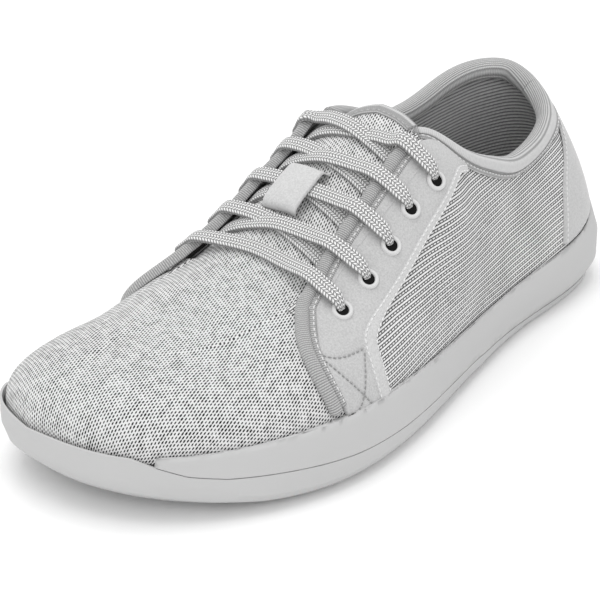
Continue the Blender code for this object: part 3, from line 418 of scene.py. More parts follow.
def stack(rings):
    """Vertices and faces of a closed solid over a stack of rings from bottom to top."""
    count, half = len(rings[0]), len(rings[0]) // 2
    verts = np.vstack(rings)
    faces = []
    for level in range(len(rings) - 1):
        for i in range(count):
            j = (i + 1) % count
            a, b = level * count, (level + 1) * count
            faces.append((a + j, a + i, b + i, b + j))
    for base, flip in ((0, False), ((len(rings) - 1) * count, True)):
        for i in range(half):
            quad = [i, i + 1, (count - i - 1) % count, (count - i) % count]
            quad = [base + k for k in dict.fromkeys(quad)]
            faces.append(tuple(reversed(quad)) if flip else tuple(quad))
    return verts, faces


def slab(top, bottom):
    """Vertices and faces of a closed solid between two grids of points."""
    n, m = top.shape[:2]
    verts = np.vstack([top.reshape(-1, 3), bottom.reshape(-1, 3)])
    faces = []

    def side_face(a, b, flip):
        quad = (b, a, a + n * m, b + n * m)
        faces.append(quad[::-1] if flip else quad)

    for i in range(n - 1):
        for j in range(m - 1):
            a, b, c, d = i * m + j, (i + 1) * m + j, (i + 1) * m + j + 1, i * m + j + 1
            faces += [(a, b, c, d), (d + n * m, c + n * m, b + n * m, a + n * m)]
        for j, flip in ((0, False), (m - 1, True)):
            side_face(i * m + j, (i + 1) * m + j, flip)
    for i, flip in ((0, True), (n - 1, False)):
        for j in range(m - 1):
            side_face(i * m + j, i * m + j + 1, flip)
    return verts, faces


def tube(path, across, upward, profiles):
    """Closed solid swept along a path with a profile of (across, upward) points at each of its places."""
    n, m = len(path), len(profiles[0])
    verts = []
    for point, a, u, profile in zip(path, across, upward, profiles):
        verts += [point + x * a + y * u for x, y in profile]
    faces = []
    for i in range(n - 1):
        for j in range(m):
            k = (j + 1) % m
            faces.append((i * m + j, i * m + k, (i + 1) * m + k, (i + 1) * m + j))
    faces.append(tuple(range(m - 1, -1, -1)))
    faces.append(tuple(range((n - 1) * m, n * m)))
    return np.array(verts), faces


# Share of the rim's height at which the sole's side is widest: share of the outline, share of the height
WIDEST_ROWS = ((0.00, 0.26), (0.12, 0.28), (0.24, 0.42), (0.36, 0.45), (1.00, 0.45))

# Width of the sole's upper edge outside the upper: share, width
LIP_ROWS = ((0.00, 0.0010), (0.10, 0.0012), (0.20, 0.0018), (1.00, 0.0018))

# Most that the sole's side leans in toward its upper edge: share, inset
TOP_INSET_ROWS = (
    (0.00, 0.0110), (0.08, 0.0085), (0.16, 0.0038), (0.24, 0.0022), (0.78, 0.0022), (0.88, 0.0010),
    (1.00, 0.0010),
)

# How far the collar roll stands to the inside: place, distance
TUCK_ROWS = ((0.00, 0.0019), (0.10, 0.0020), (0.16, 0.0014), (0.24, 0.0004), (0.30, 0.0), (1.00, 0.0))

# Tongue: thickness, place of its lower end
TONGUE_THICK = 0.0028
TONGUE_FOOT = 0.668

# Flat lace: width and thickness
LACE_WIDTH = 0.0064
LACE_THICK = 0.0020

# Pitch of the quarter's ribs in mm
RIB_PITCH = 2.10

# Stations of the sole along its outline
SHARES = np.r_[
    np.linspace(0, 0.86, 151), 0.868, 0.876, 0.8835, 0.8866, 0.8870, np.linspace(0.892, 1.0, 36),
]


def outsole():
    """Bottom, its wall up to the parting line, and the toe bumper."""
    shares = SHARES
    edge, lip = table_value(UNDERCUT_ROWS, shares), lip_height(shares)
    width, wall = table_value(ROUNDING_ROWS, shares), table_value(BUMPER_ROWS, shares)

    def lifted(part):
        return lambda side, s, plan: part + spring(plan[:, 0])

    rings = [
        loop(shares, edge + width, lifted(0 * lip)),
        loop(shares, edge + 0.50 * width, lifted(0.13 * lip)),
        loop(shares, edge + 0.16 * width, lifted(0.46 * lip)),
    ]
    rings += outer_wall(shares, 0 * wall, 0.0)
    rings += outer_wall(shares, wall, 0.0002)[::-1]
    rings.append(loop(shares, seat(shares), lambda side, s, plan: seat_level(shares, plan)))
    return stack(rings)


def lip_height(shares):
    """Height at which the rounding under the outsole ends."""
    groove = table_value(GROOVE_ROWS, shares)
    return 0.62 * np.minimum(groove, 0.0100 + 0.0080 * np.clip((shares - 0.75) / 0.15, 0, 1))


def outer_wall(shares, inward, over_seat):
    """Three rings of the outsole's wall, from its lip to the parting line, moved inward."""
    edge, groove = table_value(UNDERCUT_ROWS, shares), table_value(GROOVE_ROWS, shares)
    lip, heel = lip_height(shares), np.where(shares < 0.5, 1.0, 0.0)

    def level(side, s, plan):
        least = seat_level(shares, plan) + over_seat if over_seat else 0.0
        return np.maximum(np.minimum(lip + spring(plan[:, 0]), groove - 0.0008), least)

    def middle(side, s):
        return inward + edge * (0.35 + 0.65 * heel) + side_inset(side, s, (lip + groove) / 2)

    return [
        loop(shares, inward + edge, level),
        loop(shares, middle, lambda side, s, plan: 0.5 * (level(side, s, plan) + groove)),
        loop(shares, lambda side, s: inward + edge * heel + side_inset(side, s, groove), groove),
    ]


def seat(shares):
    """How far the edge of the midsole's seat in the outsole stands inside the outline."""
    width = table_value(ROUNDING_ROWS, shares)
    return table_value(UNDERCUT_ROWS, shares) + 0.0019 + 0.67 * np.maximum(width - 0.0095, 0)


def seat_level(shares, plan):
    """Height of the midsole's seat in the outsole."""
    return np.minimum(FLOOR + spring(plan[:, 0]), table_value(GROOVE_ROWS, shares) - 0.0010)


def midsole():
    """Sidewall above the parting line and the platform under the foot; at the toe only the platform."""
    shares = SHARES
    edge, groove = table_value(UNDERCUT_ROWS, shares), table_value(GROOVE_ROWS, shares)
    heel = np.where(shares < 0.5, 1.0, 0.0)
    rim = rim_height(shares)
    ledge = groove + GAP
    low = np.maximum(np.minimum(ledge + 0.25 * (rim - ledge), 0.0120), ledge + 0.0004)
    shown = np.where(shares < TOE_CAP, 1.0, 0.0)
    inward = table_value(BUMPER_ROWS, shares) + GAP + 0.0001

    def ring(step, inset, level):
        """One ring; at the toe it closes in to the platform's edge, step by step."""
        hidden = seat(shares) - 0.0010 + 0.00012 * step

        def height(side, s, plan):
            under = PLATFORM - 0.0012 + 0.0001 * step + spring(plan[:, 0])
            return shown * level + (1 - shown) * under

        return loop(shares, lambda side, s: shown * inset(side, s) + (1 - shown) * hidden, height)

    def side_at(level, under=0.0):
        return lambda side, s: under * edge + side_inset(side, s, level)

    def wall_at(level):
        return lambda side, s: wall_inset(side, s, level) - GAP - 0.0004

    def backed(part):
        """One of the two lower rings that follow the outsole's wall."""
        source = outer_wall(shares, inward, 0.0002 + GAP)[part]
        toe = ring(part - 1, side_at(rim), rim)
        return np.where(np.r_[shown, shown[-2:0:-1]][:, None] > 0.5, source, toe)

    foot = PLATFORM + 0.0055 + spring(outline(OUTER, shares)[0][:, 0])
    middle, cup, brow = 0.5 * (low + rim), foot + 0.38 * (rim - foot), foot + 0.72 * (rim - foot)
    return stack([
        loop(shares, seat(shares) + GAP, lambda side, s, plan: seat_level(shares, plan) + GAP),
        backed(0),
        backed(1),
        ring(1, lambda side, s: edge * heel + side_inset(side, s, groove) + inward + 0.0003, ledge),
        ring(2, side_at(ledge, 1.0), ledge),
        ring(3, side_at(low, 0.25), low),
        ring(4, side_at(middle), middle),
        ring(5, side_at(rim - 0.0016), rim - 0.0016),
        ring(6, lambda side, s: side_inset(side, s, rim) + 0.0006, rim),
        ring(7, wall_at(rim), rim),
        ring(8, wall_at(brow), brow),
        ring(9, wall_at(cup), cup),
        ring(10, wall_at(foot), foot),
        loop(shares, np.maximum(UPPER_INSET - GAP - 0.0001, edge * (1 - heel) + 0.0034),
             lambda side, s, plan: PLATFORM + spring(plan[:, 0])),
    ])


def side_inset(side, shares, level):
    """How far the sole's side stands inside the outline at a height, leaning in to its upper edge."""
    rim = rim_height(shares)
    lip = wall_inset(side, shares, rim) - GAP - table_value(LIP_ROWS, shares)
    top = np.minimum(lip, table_value(TOP_INSET_ROWS, shares))
    widest = table_value(WIDEST_ROWS, shares) * rim
    return top * np.clip((level - widest) / (rim - widest), 0, 1) ** 2


def unit(vectors):
    """Vectors brought to length 1."""
    return vectors / np.linalg.norm(vectors, axis=-1, keepdims=True)


def sweep_across(path, normal):
    """Unit widths across a path on a surface."""
    return unit(np.cross(np.gradient(path, axis=0), normal))


def smooth_step(low, high, value):
    """0 below low, 1 above high, smooth between."""
    t = np.clip((np.asarray(value, float) - low) / (high - low), 0, 1)
    return t * t * (3 - 2 * t)


def dome(share):
    """Height of a rounded edge: 0 at its foot, 1 where it ends."""
    return np.sqrt(np.clip(1 - (1 - np.clip(share, 0, 1)) ** 2, 0, 1))


def smoothed(values, kernel):
    """Values evened out along their run, with their ends held."""
    wide = len(kernel) // 2
    held = np.r_[[values[0]] * wide, values, [values[-1]] * wide]
    return np.convolve(held, kernel / kernel.sum(), "valid")


def make_flat(side):
    """The surface rolled out flat from its ridge line, in mm, for the knit's rows."""
    points = DENSE[side][2]
    step = np.linalg.norm(np.diff(points, axis=1), axis=-1)
    step[:, LOW_STEPS - 1] = 0
    far = np.concatenate([np.cumsum(step[:, ::-1], axis=1)[:, ::-1], np.zeros((len(points), 1))], axis=1)
    ridge, foot = points[:, -1, :2], points[:, 0, :2]
    way = foot - ridge
    way /= np.linalg.norm(way, axis=1, keepdims=True)
    return 1000 * (ridge[:, None] + far[..., None] * way[:, None])


def make_rib(side):
    """Run along the side and height over the sole of each point, in mm, for the ribs of the quarters."""
    place, points = DENSE[side][0], DENSE[side][2][:, :LOW_STEPS]
    step = np.linalg.norm(np.diff(points, axis=1), axis=-1)
    up = np.concatenate([np.zeros((len(points), 1)), np.cumsum(step, axis=1)], axis=1)
    base = np.array([np.interp(RIB_BASE, points[i, :, 2], up[i]) for i in range(len(points))])
    slope = np.tan(np.radians(table_value(RIB_SLOPE_ROWS, place)))
    steps = 0.5 * (slope[1:] + slope[:-1]) * np.diff(place) * TOE_LENGTH
    rise = np.concatenate([np.cumsum(steps[::-1])[::-1], [0]])
    height = up - base[:, None] - rise[:, None]
    height = np.concatenate([height, np.repeat(height[:, -1:], HIGH_STEPS - 1, axis=1)], axis=1)
    run = np.repeat((place * TOE_LENGTH)[:, None], LOW_STEPS + HIGH_STEPS - 1, axis=1)
    return 1000 * np.stack([side * run, height], -1)


# Slope of the quarter's ribs toward the heel: place, degrees
RIB_SLOPE_ROWS = (
    (0.00, 3), (0.10, 5), (0.20, 7), (0.26, 5), (0.32, -2), (0.41, 0), (0.49, 2), (0.56, 8), (0.66, 9),
)

# Height from which the ribs are counted, and length of the outline from heel to toe, in metres
RIB_BASE = 0.024
TOE_LENGTH = 0.335

# Usual length of a section up the side, in metres
SIDE_LENGTH = 0.065

# Weave places of each side's points: rolled out flat, and for the ribs
FLAT = {side: make_flat(side) for side in (OUTER, INNER)}
RIB = {side: make_rib(side) for side in (OUTER, INNER)}


def border_distance(points):
    """Distance of each point of a grid from the nearest border, along the grid's own lines."""
    out = []
    for axis in (0, 1):
        step = np.linalg.norm(np.diff(points, axis=axis), axis=-1)
        shape = list(step.shape)
        shape[axis] = 1
        forth = np.concatenate([np.zeros(shape), np.cumsum(step, axis=axis)], axis=axis)
        total = forth[-1:] if axis == 0 else forth[:, -1:]
        out.append(np.minimum(forth, total - forth))
    return np.minimum(*out)


def to_row(points):
    """Shoe's own sizes to the row frame: toe to -Y, outer side to +X."""
    points = np.asarray(points, float)
    return np.stack([points[..., 1] - Y_MID, X_MID - points[..., 0], points[..., 2]], -1)


def piece(name, verts, faces, look, stands_for=(), uv=None):
    """One smooth piece that rides with the shoe; uv gives each vertex its place in the weave."""
    mesh = bpy.data.meshes.new(name)
    faces = [tuple(int(k) for k in face) for face in faces]
    mesh.from_pydata([tuple(p) for p in to_row(verts)], [], faces)
    if uv is not None:
        layer = mesh.uv_layers.new(name="weave")
        index = np.zeros(len(mesh.loops), int)
        mesh.loops.foreach_get("vertex_index", index)
        layer.data.foreach_set("uv", np.asarray(uv, np.float32).reshape(-1, 2)[index].ravel())
    shape = bmesh.new()
    shape.from_mesh(mesh)
    bmesh.ops.recalc_face_normals(shape, faces=shape.faces)
    shape.to_mesh(mesh)
    shape.free()
    mesh.polygons.foreach_set("use_smooth", [True] * len(mesh.polygons))
    thing = bpy.data.objects.new(name, mesh)
    bpy.context.scene.collection.objects.link(thing)
    mesh.materials.append(look)
    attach(thing, "root")
    if stands_for:
        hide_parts(*stands_for)
    return thing


def sheet_faces(n, m):
    """Faces of an open grid."""
    i, j = np.meshgrid(np.arange(n - 1), np.arange(m - 1), indexing="ij")
    a = (i * m + j).ravel()
    return np.stack([a, a + m, a + m + 1, a + 1], -1)


def slab_piece(name, top, bottom, flat, look, stands_for=()):
    """Closed piece between two grids, with the same weave places on both."""
    verts, faces = slab(top, bottom)
    flat = np.reshape(flat, (-1, 2))
    return piece(name, verts, faces, look, stands_for, np.vstack([flat, flat]))


def run_along(points):
    """Length from the first point to each point."""
    return np.r_[0, np.cumsum(np.linalg.norm(np.diff(points, axis=0), axis=1))]


def smooth_curve(points, count):
    """Points of the smooth curve through points that follow each other evenly."""
    return cubic_spline(np.arange(len(points)), np.array(points), np.linspace(0, len(points) - 1, count))


def smooth_rows(rows, count):
    """Evenly spaced points of the smooth curve through a table's rows."""
    rows = np.array(rows, float)
    fine = smooth_curve(rows, 40 * len(rows))
    run = run_along(fine[:, :2] * (TOE_LENGTH, SIDE_LENGTH))
    at = np.linspace(0, run[-1], count)
    return np.stack([np.interp(at, run, fine[:, k]) for k in range(rows.shape[1])], -1)


def rounded(profile, times=2):
    """Profile with its corners cut smooth."""
    points = np.array(profile, float)
    for _ in range(times):
        after = np.roll(points, -1, axis=0)
        pairs = np.stack([0.75 * points + 0.25 * after, 0.25 * points + 0.75 * after], 1)
        points = pairs.reshape(-1, points.shape[1])
    return points


def mirrored(half):
    """Closed profile from its right half, given from below upward."""
    return [(-half[0][0], half[0][1]), *half, *((-x, y) for x, y in half[:0:-1])]


def swept_piece(name, path, normal, profiles, look, stands_for=(), across=None):
    """Closed piece with a profile swept along a path."""
    across = sweep_across(path, normal) if across is None else across
    verts, faces = tube(path, across, normal, profiles)
    run = 1000 * run_along(path)
    girth = np.array([p[0] for p in profiles[len(profiles) // 2]]) * 1000
    uv = np.stack([np.repeat(run, len(girth)), np.tile(girth, len(path))], -1)
    return piece(name, verts, faces, look, stands_for, uv)


# Places along a stitch and its fullness there, as shares, and corners of its section
STITCH_ENDS = np.array([-0.5, -0.42, -0.2, 0.2, 0.42, 0.5])
STITCH_SIZES = (0.15, 0.7, 1.0, 1.0, 0.7, 0.15)
STITCH_CORNERS = 6


def sewn_piece(name, paths, sizes, look):
    """Raised thread stitches along paths of points and normals; sizes: pitch, length, width, height."""
    pitch, length, width, height = sizes
    n = STITCH_CORNERS
    verts, faces = [], []
    for points, normals in paths:
        run = run_along(points)
        for k in range(max(int(run[-1] / pitch), 1)):
            middle = (k + 0.5) * pitch
            ends = middle + STITCH_ENDS * length
            along = np.stack([np.interp(ends, run, points[:, c]) for c in range(3)], -1)
            up = unit(np.array([np.interp(middle, run, normals[:, c]) for c in range(3)]))
            side = unit(np.cross(along[-1] - along[0], up))
            base = len(verts)
            for q, size in zip(along, STITCH_SIZES):
                for a in np.linspace(0, 2 * math.pi, n, endpoint=False):
                    verts.append(q + (side * math.cos(a) * width / 2 + up * math.sin(a) * height) * size)
            for r in range(base, base + (len(ends) - 1) * n, n):
                faces += [(r + a, r + (a + 1) % n, r + n + (a + 1) % n, r + n + a) for a in range(n)]
            faces.append(tuple(base + a for a in range(n - 1, -1, -1)))
            faces.append(tuple(base + (len(ends) - 1) * n + a for a in range(n)))
    return piece(name, np.array(verts), faces, look)


# Added to weave places before they are cut to fractions, so that none is negative
WHOLE = 4000.0
TURN = 6.2832


class Value:
    """Number in a material's nodes; arithmetic on it adds the nodes for it."""

    def __init__(self, tree, socket):
        self.tree, self.socket = tree, socket

    def calc(self, kind, *values):
        node = self.tree.nodes.new("ShaderNodeMath")
        node.operation = kind
        for place, value in zip(node.inputs, values):
            put(self.tree, place, value)
        return Value(self.tree, node.outputs[0])

    def __add__(self, other):
        return self.calc("ADD", self, other)

    def __sub__(self, other):
        return self.calc("SUBTRACT", self, other)

    def __mul__(self, other):
        return self.calc("MULTIPLY", self, other)

    def __truediv__(self, other):
        return self.calc("DIVIDE", self, other)

    def __mod__(self, other):
        return self.calc("MODULO", self, other)

    def __pow__(self, other):
        return self.calc("POWER", self, other)

    def __abs__(self):
        return self.calc("ABSOLUTE", self)

    def floor(self):
        return self.calc("FLOOR", self)

    def fract(self):
        return self.calc("FRACT", self)

    def root(self):
        return self.calc("SQRT", self)

    def sine(self):
        return self.calc("SINE", self)

    def most(self, other):
        return self.calc("MAXIMUM", self, other)


def put(tree, socket, value):
    """Link or set an input."""
    if isinstance(value, Value):
        tree.links.new(value.socket, socket)
    else:
        socket.default_value = value


class Look:
    """Material whose colour, roughness and relief are worked out in its nodes."""

    def __init__(self, name):
        self.material = bpy.data.materials.new(name)
        self.material.use_nodes = True
        self.tree = self.material.node_tree
        self.shader = self.tree.nodes["Principled BSDF"]

    def ramp(self, value, low, high):
        """0 at low, 1 at high, smooth between."""
        node = self.tree.nodes.new("ShaderNodeMapRange")
        node.interpolation_type = "SMOOTHSTEP"
        for socket, setting in zip(node.inputs, (value, low, high, 0.0, 1.0)):
            put(self.tree, socket, setting)
        return Value(self.tree, node.outputs[0])

    def noise(self, scale, detail=2.0, rough=0.5):
        place = self.tree.nodes.new("ShaderNodeTexCoord")
        node = self.tree.nodes.new("ShaderNodeTexNoise")
        self.tree.links.new(place.outputs["Object"], node.inputs["Vector"])
        node.inputs["Scale"].default_value = scale
        node.inputs["Detail"].default_value = detail
        node.inputs["Roughness"].default_value = rough
        return Value(self.tree, node.outputs["Fac"])

    def blend(self, share, first, second):
        """Colour between two colours."""
        node = self.tree.nodes.new("ShaderNodeMix")
        node.data_type = "RGBA"
        put(self.tree, node.inputs["Factor"], share)
        put(self.tree, node.inputs["A"], (*first, 1))
        put(self.tree, node.inputs["B"], (*second, 1))
        return Value(self.tree, node.outputs["Result"])

    def weave(self):
        """Places in the piece's weave, in mm: along and across its rows."""
        node = self.tree.nodes.new("ShaderNodeUVMap")
        node.uv_map = "weave"
        parts = self.tree.nodes.new("ShaderNodeSeparateXYZ")
        self.tree.links.new(node.outputs[0], parts.inputs[0])
        return Value(self.tree, parts.outputs[0]), Value(self.tree, parts.outputs[1])

    def bump(self, height, distance):
        node = self.tree.nodes.new("ShaderNodeBump")
        node.inputs["Distance"].default_value = distance
        node.inputs["Strength"].default_value = 1.0
        put(self.tree, node.inputs["Height"], height)
        self.tree.links.new(node.outputs[0], self.shader.inputs["Normal"])

    def finish(self, colour, roughness, sheen, specular):
        put(self.tree, self.shader.inputs["Base Color"], colour)
        put(self.tree, self.shader.inputs["Roughness"], roughness)
        self.shader.inputs["Sheen Weight"].default_value = sheen
        self.shader.inputs["Specular IOR Level"].default_value = specular
        return self.material


def grey(level):
    """Linear colour of a grey given as it shows on a screen, from 0 to 255."""
    c = level / 255
    linear = c / 12.92 if c < 0.04045 else ((c + 0.055) / 1.055) ** 2.4
    return (linear, linear, linear)


def lattice(u, w, pitch_u, pitch_w):
    """Place in the nearest cell of a staggered lattice, from -0.5 to 0.5 each way."""
    row = w / pitch_w
    shift = (row + WHOLE).floor() % 2.0 * 0.5
    return (u / pitch_u + shift + WHOLE).fract() - 0.5, (row + WHOLE).fract() - 0.5


def knit_look(name, light, dark, hole, turn=math.radians(16), pitch_u=1.60, pitch_w=1.05):
    """Plain knit with staggered rows of openings; the pattern is the knit's own, and their near-black is
    painted shade in them.
    """
    look = Look(name)
    u, w = look.weave()
    c, s = math.cos(turn), math.sin(turn)
    wander = (look.noise(90.0) - 0.5) * 0.9
    x, y = lattice(u * c + w * s, w * c - u * s + wander, pitch_u, pitch_w)
    far = ((x * 0.85) ** 2.0 + (y * 1.25) ** 2.0).root()
    size = (look.noise(420.0, 1.0) - 0.5) * 0.34 + hole
    # Openings take the dark colour: painted shade in the knit's holes
    solid = look.ramp(far - size, -0.10, 0.10)
    loops = ((x + abs(y) * 0.8) * 18.0).sine()
    body = solid * (loops * 0.05 + 0.90)
    tone = body + (look.noise(1400.0) - 0.5) * 0.16
    look.bump(body + look.noise(1700.0) * 0.25, 0.00035)
    return look.finish(look.blend(tone, dark, light), 0.92, 0.25, 0.15)


def rib_look(name, light, dark, bead_tone, bead=1.72):
    """Ribbed knit: a smooth cord beside a beaded row; the grooves between them and between the beads are
    painted near black as shade.
    """
    look = Look(name)
    u, w = look.weave()
    row = (w + (look.noise(55.0) - 0.5) * 0.35) / RIB_PITCH
    t = (row + WHOLE).fract()
    cord = look.ramp(abs(t - 0.27), 0.27, 0.13)
    bead_row = look.ramp(abs(t - 0.76), 0.23, 0.09)
    step = (u / bead + row * 0.09 + WHOLE).fract()
    beads = look.ramp(abs(step - 0.5), 0.48, 0.26) * 0.85 + 0.15
    twist = ((u / bead + t * 1.2) * TURN).sine()
    low = bead_row * beads * bead_tone
    # Where neither cord nor bead lies the tone falls to the dark colour: painted shade in the grooves
    tone = (cord * (twist * 0.05 + 0.94)).most(low)
    tone = tone + (look.noise(1300.0) - 0.5) * 0.12
    look.bump(cord.most(low * 0.8) + look.noise(1500.0) * 0.12, 0.0006)
    return look.finish(look.blend(tone, dark, light), 0.9, 0.25, 0.15)


def nap_look(name, tone):
    """Nubuck: fine even nap with faint clouds."""
    look = Look(name)
    grain = look.noise(1500.0, 3.0, 0.65)
    share = look.ramp(grain, 0.30, 0.70) * 0.65 + look.noise(60.0, 3.0) * 0.35
    look.bump(grain + look.noise(400.0) * 0.6, 0.00012)
    return look.finish(look.blend(share, grey(tone - 15), grey(tone + 13)), grain * 0.12 + 0.82, 0.35, 0.12)


def fine_rib_look(name, light, dark, pitch=0.8, bead=0.75, across=False):
    """Fine ribbed knit of bindings, collar roll and lining."""
    look = Look(name)
    u, w = look.weave()
    if across:
        u, w = w, u
    row = w / pitch + WHOLE
    rib = look.ramp(abs(row.fract() - 0.5), 0.48, 0.10)
    stitch = ((u / bead + row.floor() * 0.5) * TURN).sine()
    tone = rib * 0.75 + stitch * 0.10 + (look.noise(900.0, 3.0) - 0.5) * 0.35
    look.bump(rib + stitch * 0.25, 0.00020)
    return look.finish(look.blend(tone, dark, light), 0.9, 0.3, 0.15)


def braid_look(name, light, dark, pitch=1.25, bead=1.30):
    """Flat braid: columns of slanting strands that lean to and fro."""
    look = Look(name)
    u, w = look.weave()
    row = w / pitch + (WHOLE + 0.5)
    t = row.fract() - 0.5
    lean = row.floor() % 2.0 * 2.0 - 1.0
    phase = u / bead + t * lean * 0.75
    strand = look.ramp(abs((phase + WHOLE).fract() - 0.5), 0.50, 0.16)
    body = strand * look.ramp(abs(t), 0.52, 0.26)
    tone = body + (look.noise(1800.0) - 0.5) * 0.14
    look.bump(body, 0.00030)
    return look.finish(look.blend(tone, dark, light), 0.85, 0.25, 0.2)


def rubber_look(name, tone):
    """Matt foamed rubber with a fine stipple."""
    look = Look(name)
    stipple = look.noise(2200.0, 2.0, 0.6)
    look.bump(stipple, 0.00003)
    colour = look.blend(look.noise(25.0), grey(tone - 3), grey(tone + 3))
    return look.finish(colour, stipple * 0.15 + 0.55, 0.0, 0.35)


def tread_look(name, tone):
    """Rubber of the underside with fine rounded studs in staggered rows."""
    look = Look(name)
    x, y = lattice(*look.weave(), 9.0, 4.5)
    stud = look.ramp(((x * 2.0) ** 2.0 + y ** 2.0).root(), 0.46, 0.38)
    look.bump(stud + look.noise(1800.0) * 0.04, 0.0012)
    return look.finish(look.blend(stud, grey(tone - 14), grey(tone)), 0.62, 0.0, 0.3)


def plain_look(name, tone, roughness, specular=0.4):
    """Painted or thread surface with slight variation."""
    look = Look(name)
    fleck = look.noise(1200.0)
    look.bump(fleck, 0.00003)
    colour = look.blend(fleck, grey(tone - 7), grey(tone + 7))
    return look.finish(colour, fleck * 0.08 + roughness, 0.0, specular)


def rib_wave(side, place, v):
    """Weave places of the quarter with the gentle waves of stretched ribs."""
    flat = lookup(side, RIB[side], place, v)
    x, h = flat[..., 0], flat[..., 1]
    wave = 0.10 * np.sin(x / 9.0 + h / 17.0) + 0.05 * np.sin(x / 4.3 - h / 11.0)
    return np.stack([x, h + wave], -1)


def rib_height(h):
    """Height of the ribbed knit's face over its ground, from the place across its ribs in mm."""
    t = (h / RIB_PITCH) % 1
    cord = 1 - smooth_step(0.08, 0.30, np.abs(t - 0.28))
    beads = 1 - smooth_step(0.06, 0.26, np.abs(t - 0.76))
    return 0.00028 * np.maximum(cord, 0.62 * beads)


def dents(side, place, v):
    """Main creases and hollows of the upper, placed one by one: depth at each place."""
    depth = np.zeros(np.broadcast(place, v).shape)
    for where, at_place, at_v, wide, high, amount in DENTS:
        if where in (0, side):
            far = ((place - at_place) / wide) ** 2 + ((v - at_v) / high) ** 2
            depth = depth + amount * np.exp(-far)
    return depth


# Hollows and swells: side (0 for both), place, v, half length, half height, depth in metres
DENTS = (
    (OUTER, 0.300, 0.60, 0.080, 0.22, -0.0009),
    (INNER, 0.300, 0.55, 0.080, 0.22, -0.0009),
    (OUTER, 0.450, 0.45, 0.060, 0.16, -0.0004),
    (OUTER, 0.560, 0.35, 0.040, 0.14, 0.0004),
    (0, 0.110, 0.86, 0.050, 0.10, -0.0005),
    (OUTER, 0.740, 0.80, 0.030, 0.30, -0.0005),
    (INNER, 0.760, 0.70, 0.035, 0.30, -0.0006),
    (OUTER, 0.820, 0.60, 0.040, 0.22, 0.0004),
)


def sink(place, v):
    """How far the vamp's front dips under the facings near the throat."""
    return 0.0024 * (1 - smooth_step(0.625, 0.715, place)) * smooth_step(0.86, 1.12, v)


def round_heel(reach, count):
    """Sides and places of rows from one side round the heel to the other."""
    places = np.r_[np.linspace(reach, 0.0, count), np.linspace(0.0, reach, count)[1:]]
    return zip([OUTER] * count + [INNER] * (count - 1), places)


def over_ridge(outer, inner):
    """One row over the ridge, from the outer side's row and the inner side's."""
    return np.vstack([outer, inner[-2::-1]])


def sheet(name, rows, flats, look, stands_for=()):
    """Open sheet of the upper's knit, with its weave places."""
    faces, flats = sheet_faces(*np.shape(rows)[:2]), np.reshape(flats, (-1, 2))
    piece(name, np.reshape(rows, (-1, 3)), faces, look, stands_for, flats)


def make_quarters(look):
    """Ribbed quarters in one sheet round the heel, with their ribs as real relief."""
    share = np.linspace(0, 1, 190)
    rows, flats = [], []
    for side, place in round_heel(0.655, 250):
        low = max(float(leave_at(side, place)) - 0.05, 0.02)
        v = low + share * (1 - low)
        flat = rib_wave(side, place, v)
        lift = rib_height(flat[:, 1]) * (1 - smooth_step(0.97, 0.995, v)) + dents(side, place, v)
        rows.append(skin(side, place, v, lift)[0])
        flats.append(flat)
    sheet("quarter_knit", rows, flats, look, ("upper",))


def make_vamp(look):
    """Vamp over the toes, from sole to sole over the ridge, dipping under the facings at the throat."""
    rows, flats = [], []
    for place in np.linspace(0.628, 1.0, 150):
        line, flat = [], []
        for side in (OUTER, INNER):
            low = max(float(leave_at(side, place)) - 0.06, 0.02)
            v = np.r_[np.linspace(low, 1, 70), np.linspace(1, 2, 41)[1:]]
            line.append(skin(side, place, v, dents(side, place, v) - sink(place, v))[0])
            flat.append(lookup(side, FLAT[side], place, v))
        rows.append(over_ridge(*line))
        flats.append(over_ridge(*flat))
    sheet("vamp_knit", rows, flats, look)


def make_lining(look):
    """Inner face of the upper round heel and collar and under the facings."""
    v = 0.02 + 0.98 * np.linspace(0, 1, 60)
    rows, flats = [], []
    for side, place in round_heel(0.62, 90):
        rows.append(skin(side, place, v, -WALL + dents(side, place, v) * 0.5)[0])
        flats.append(rib_wave(side, place, v))
    sheet("lining_knit", rows, flats, look)


def make_vamp_lining(look):
    """Inner face of the vamp."""
    v = np.r_[np.linspace(0.02, 1, 24), np.linspace(1, 2, 13)[1:]]
    rows = []
    for place in np.linspace(0.628, 1.0, 50):
        line = [skin(side, place, v, -WALL - sink(place, v))[0] for side in (OUTER, INNER)]
        rows.append(over_ridge(*line))
    sheet("vamp_lining", rows, 1000 * np.array(rows)[..., :2], look)


def eyestay_grid(side):
    """Places and v of a grid over the eyestay panel, from just below the sole's rim."""
    rows = np.array(EYESTAY_ROWS)
    height = np.linspace(-0.06, 1, 116)
    front = cubic_spline(rows[:, 0], rows[:, 1], height)[:, None]
    rear = smoothed(np.interp(height, rows[:, 0], rows[:, 2]), np.hanning(9)[1:-1])[:, None]
    place = front + np.linspace(0, 1, 60)[None, :] * (rear - front)
    blend = np.clip((place - THROAT_TOP + 0.02) / 0.03, 0, 1)
    return place, below_edge(side, place, height[:, None], 0.0036 + 0.0010 * blend)


def sewn_relief(place, v):
    """Height of the eyestay's face along its sewn lines and crease."""
    rise = 0.0
    for rows in SEWN_ROWS:
        far = np.full(place.shape, 9.0)
        for p, q in smooth_rows(rows, 40):
            far = np.minimum(far, np.hypot((place - p) * 335, (v - q) * 75))
        rise = rise - 0.00034 * np.exp(-(far / 0.8) ** 2)
    return rise


def on_skin(side, rows, lift):
    """Points and normals above the upper along rows of place and v."""
    return skin(side, rows[:, 0], rows[:, 1], lift)


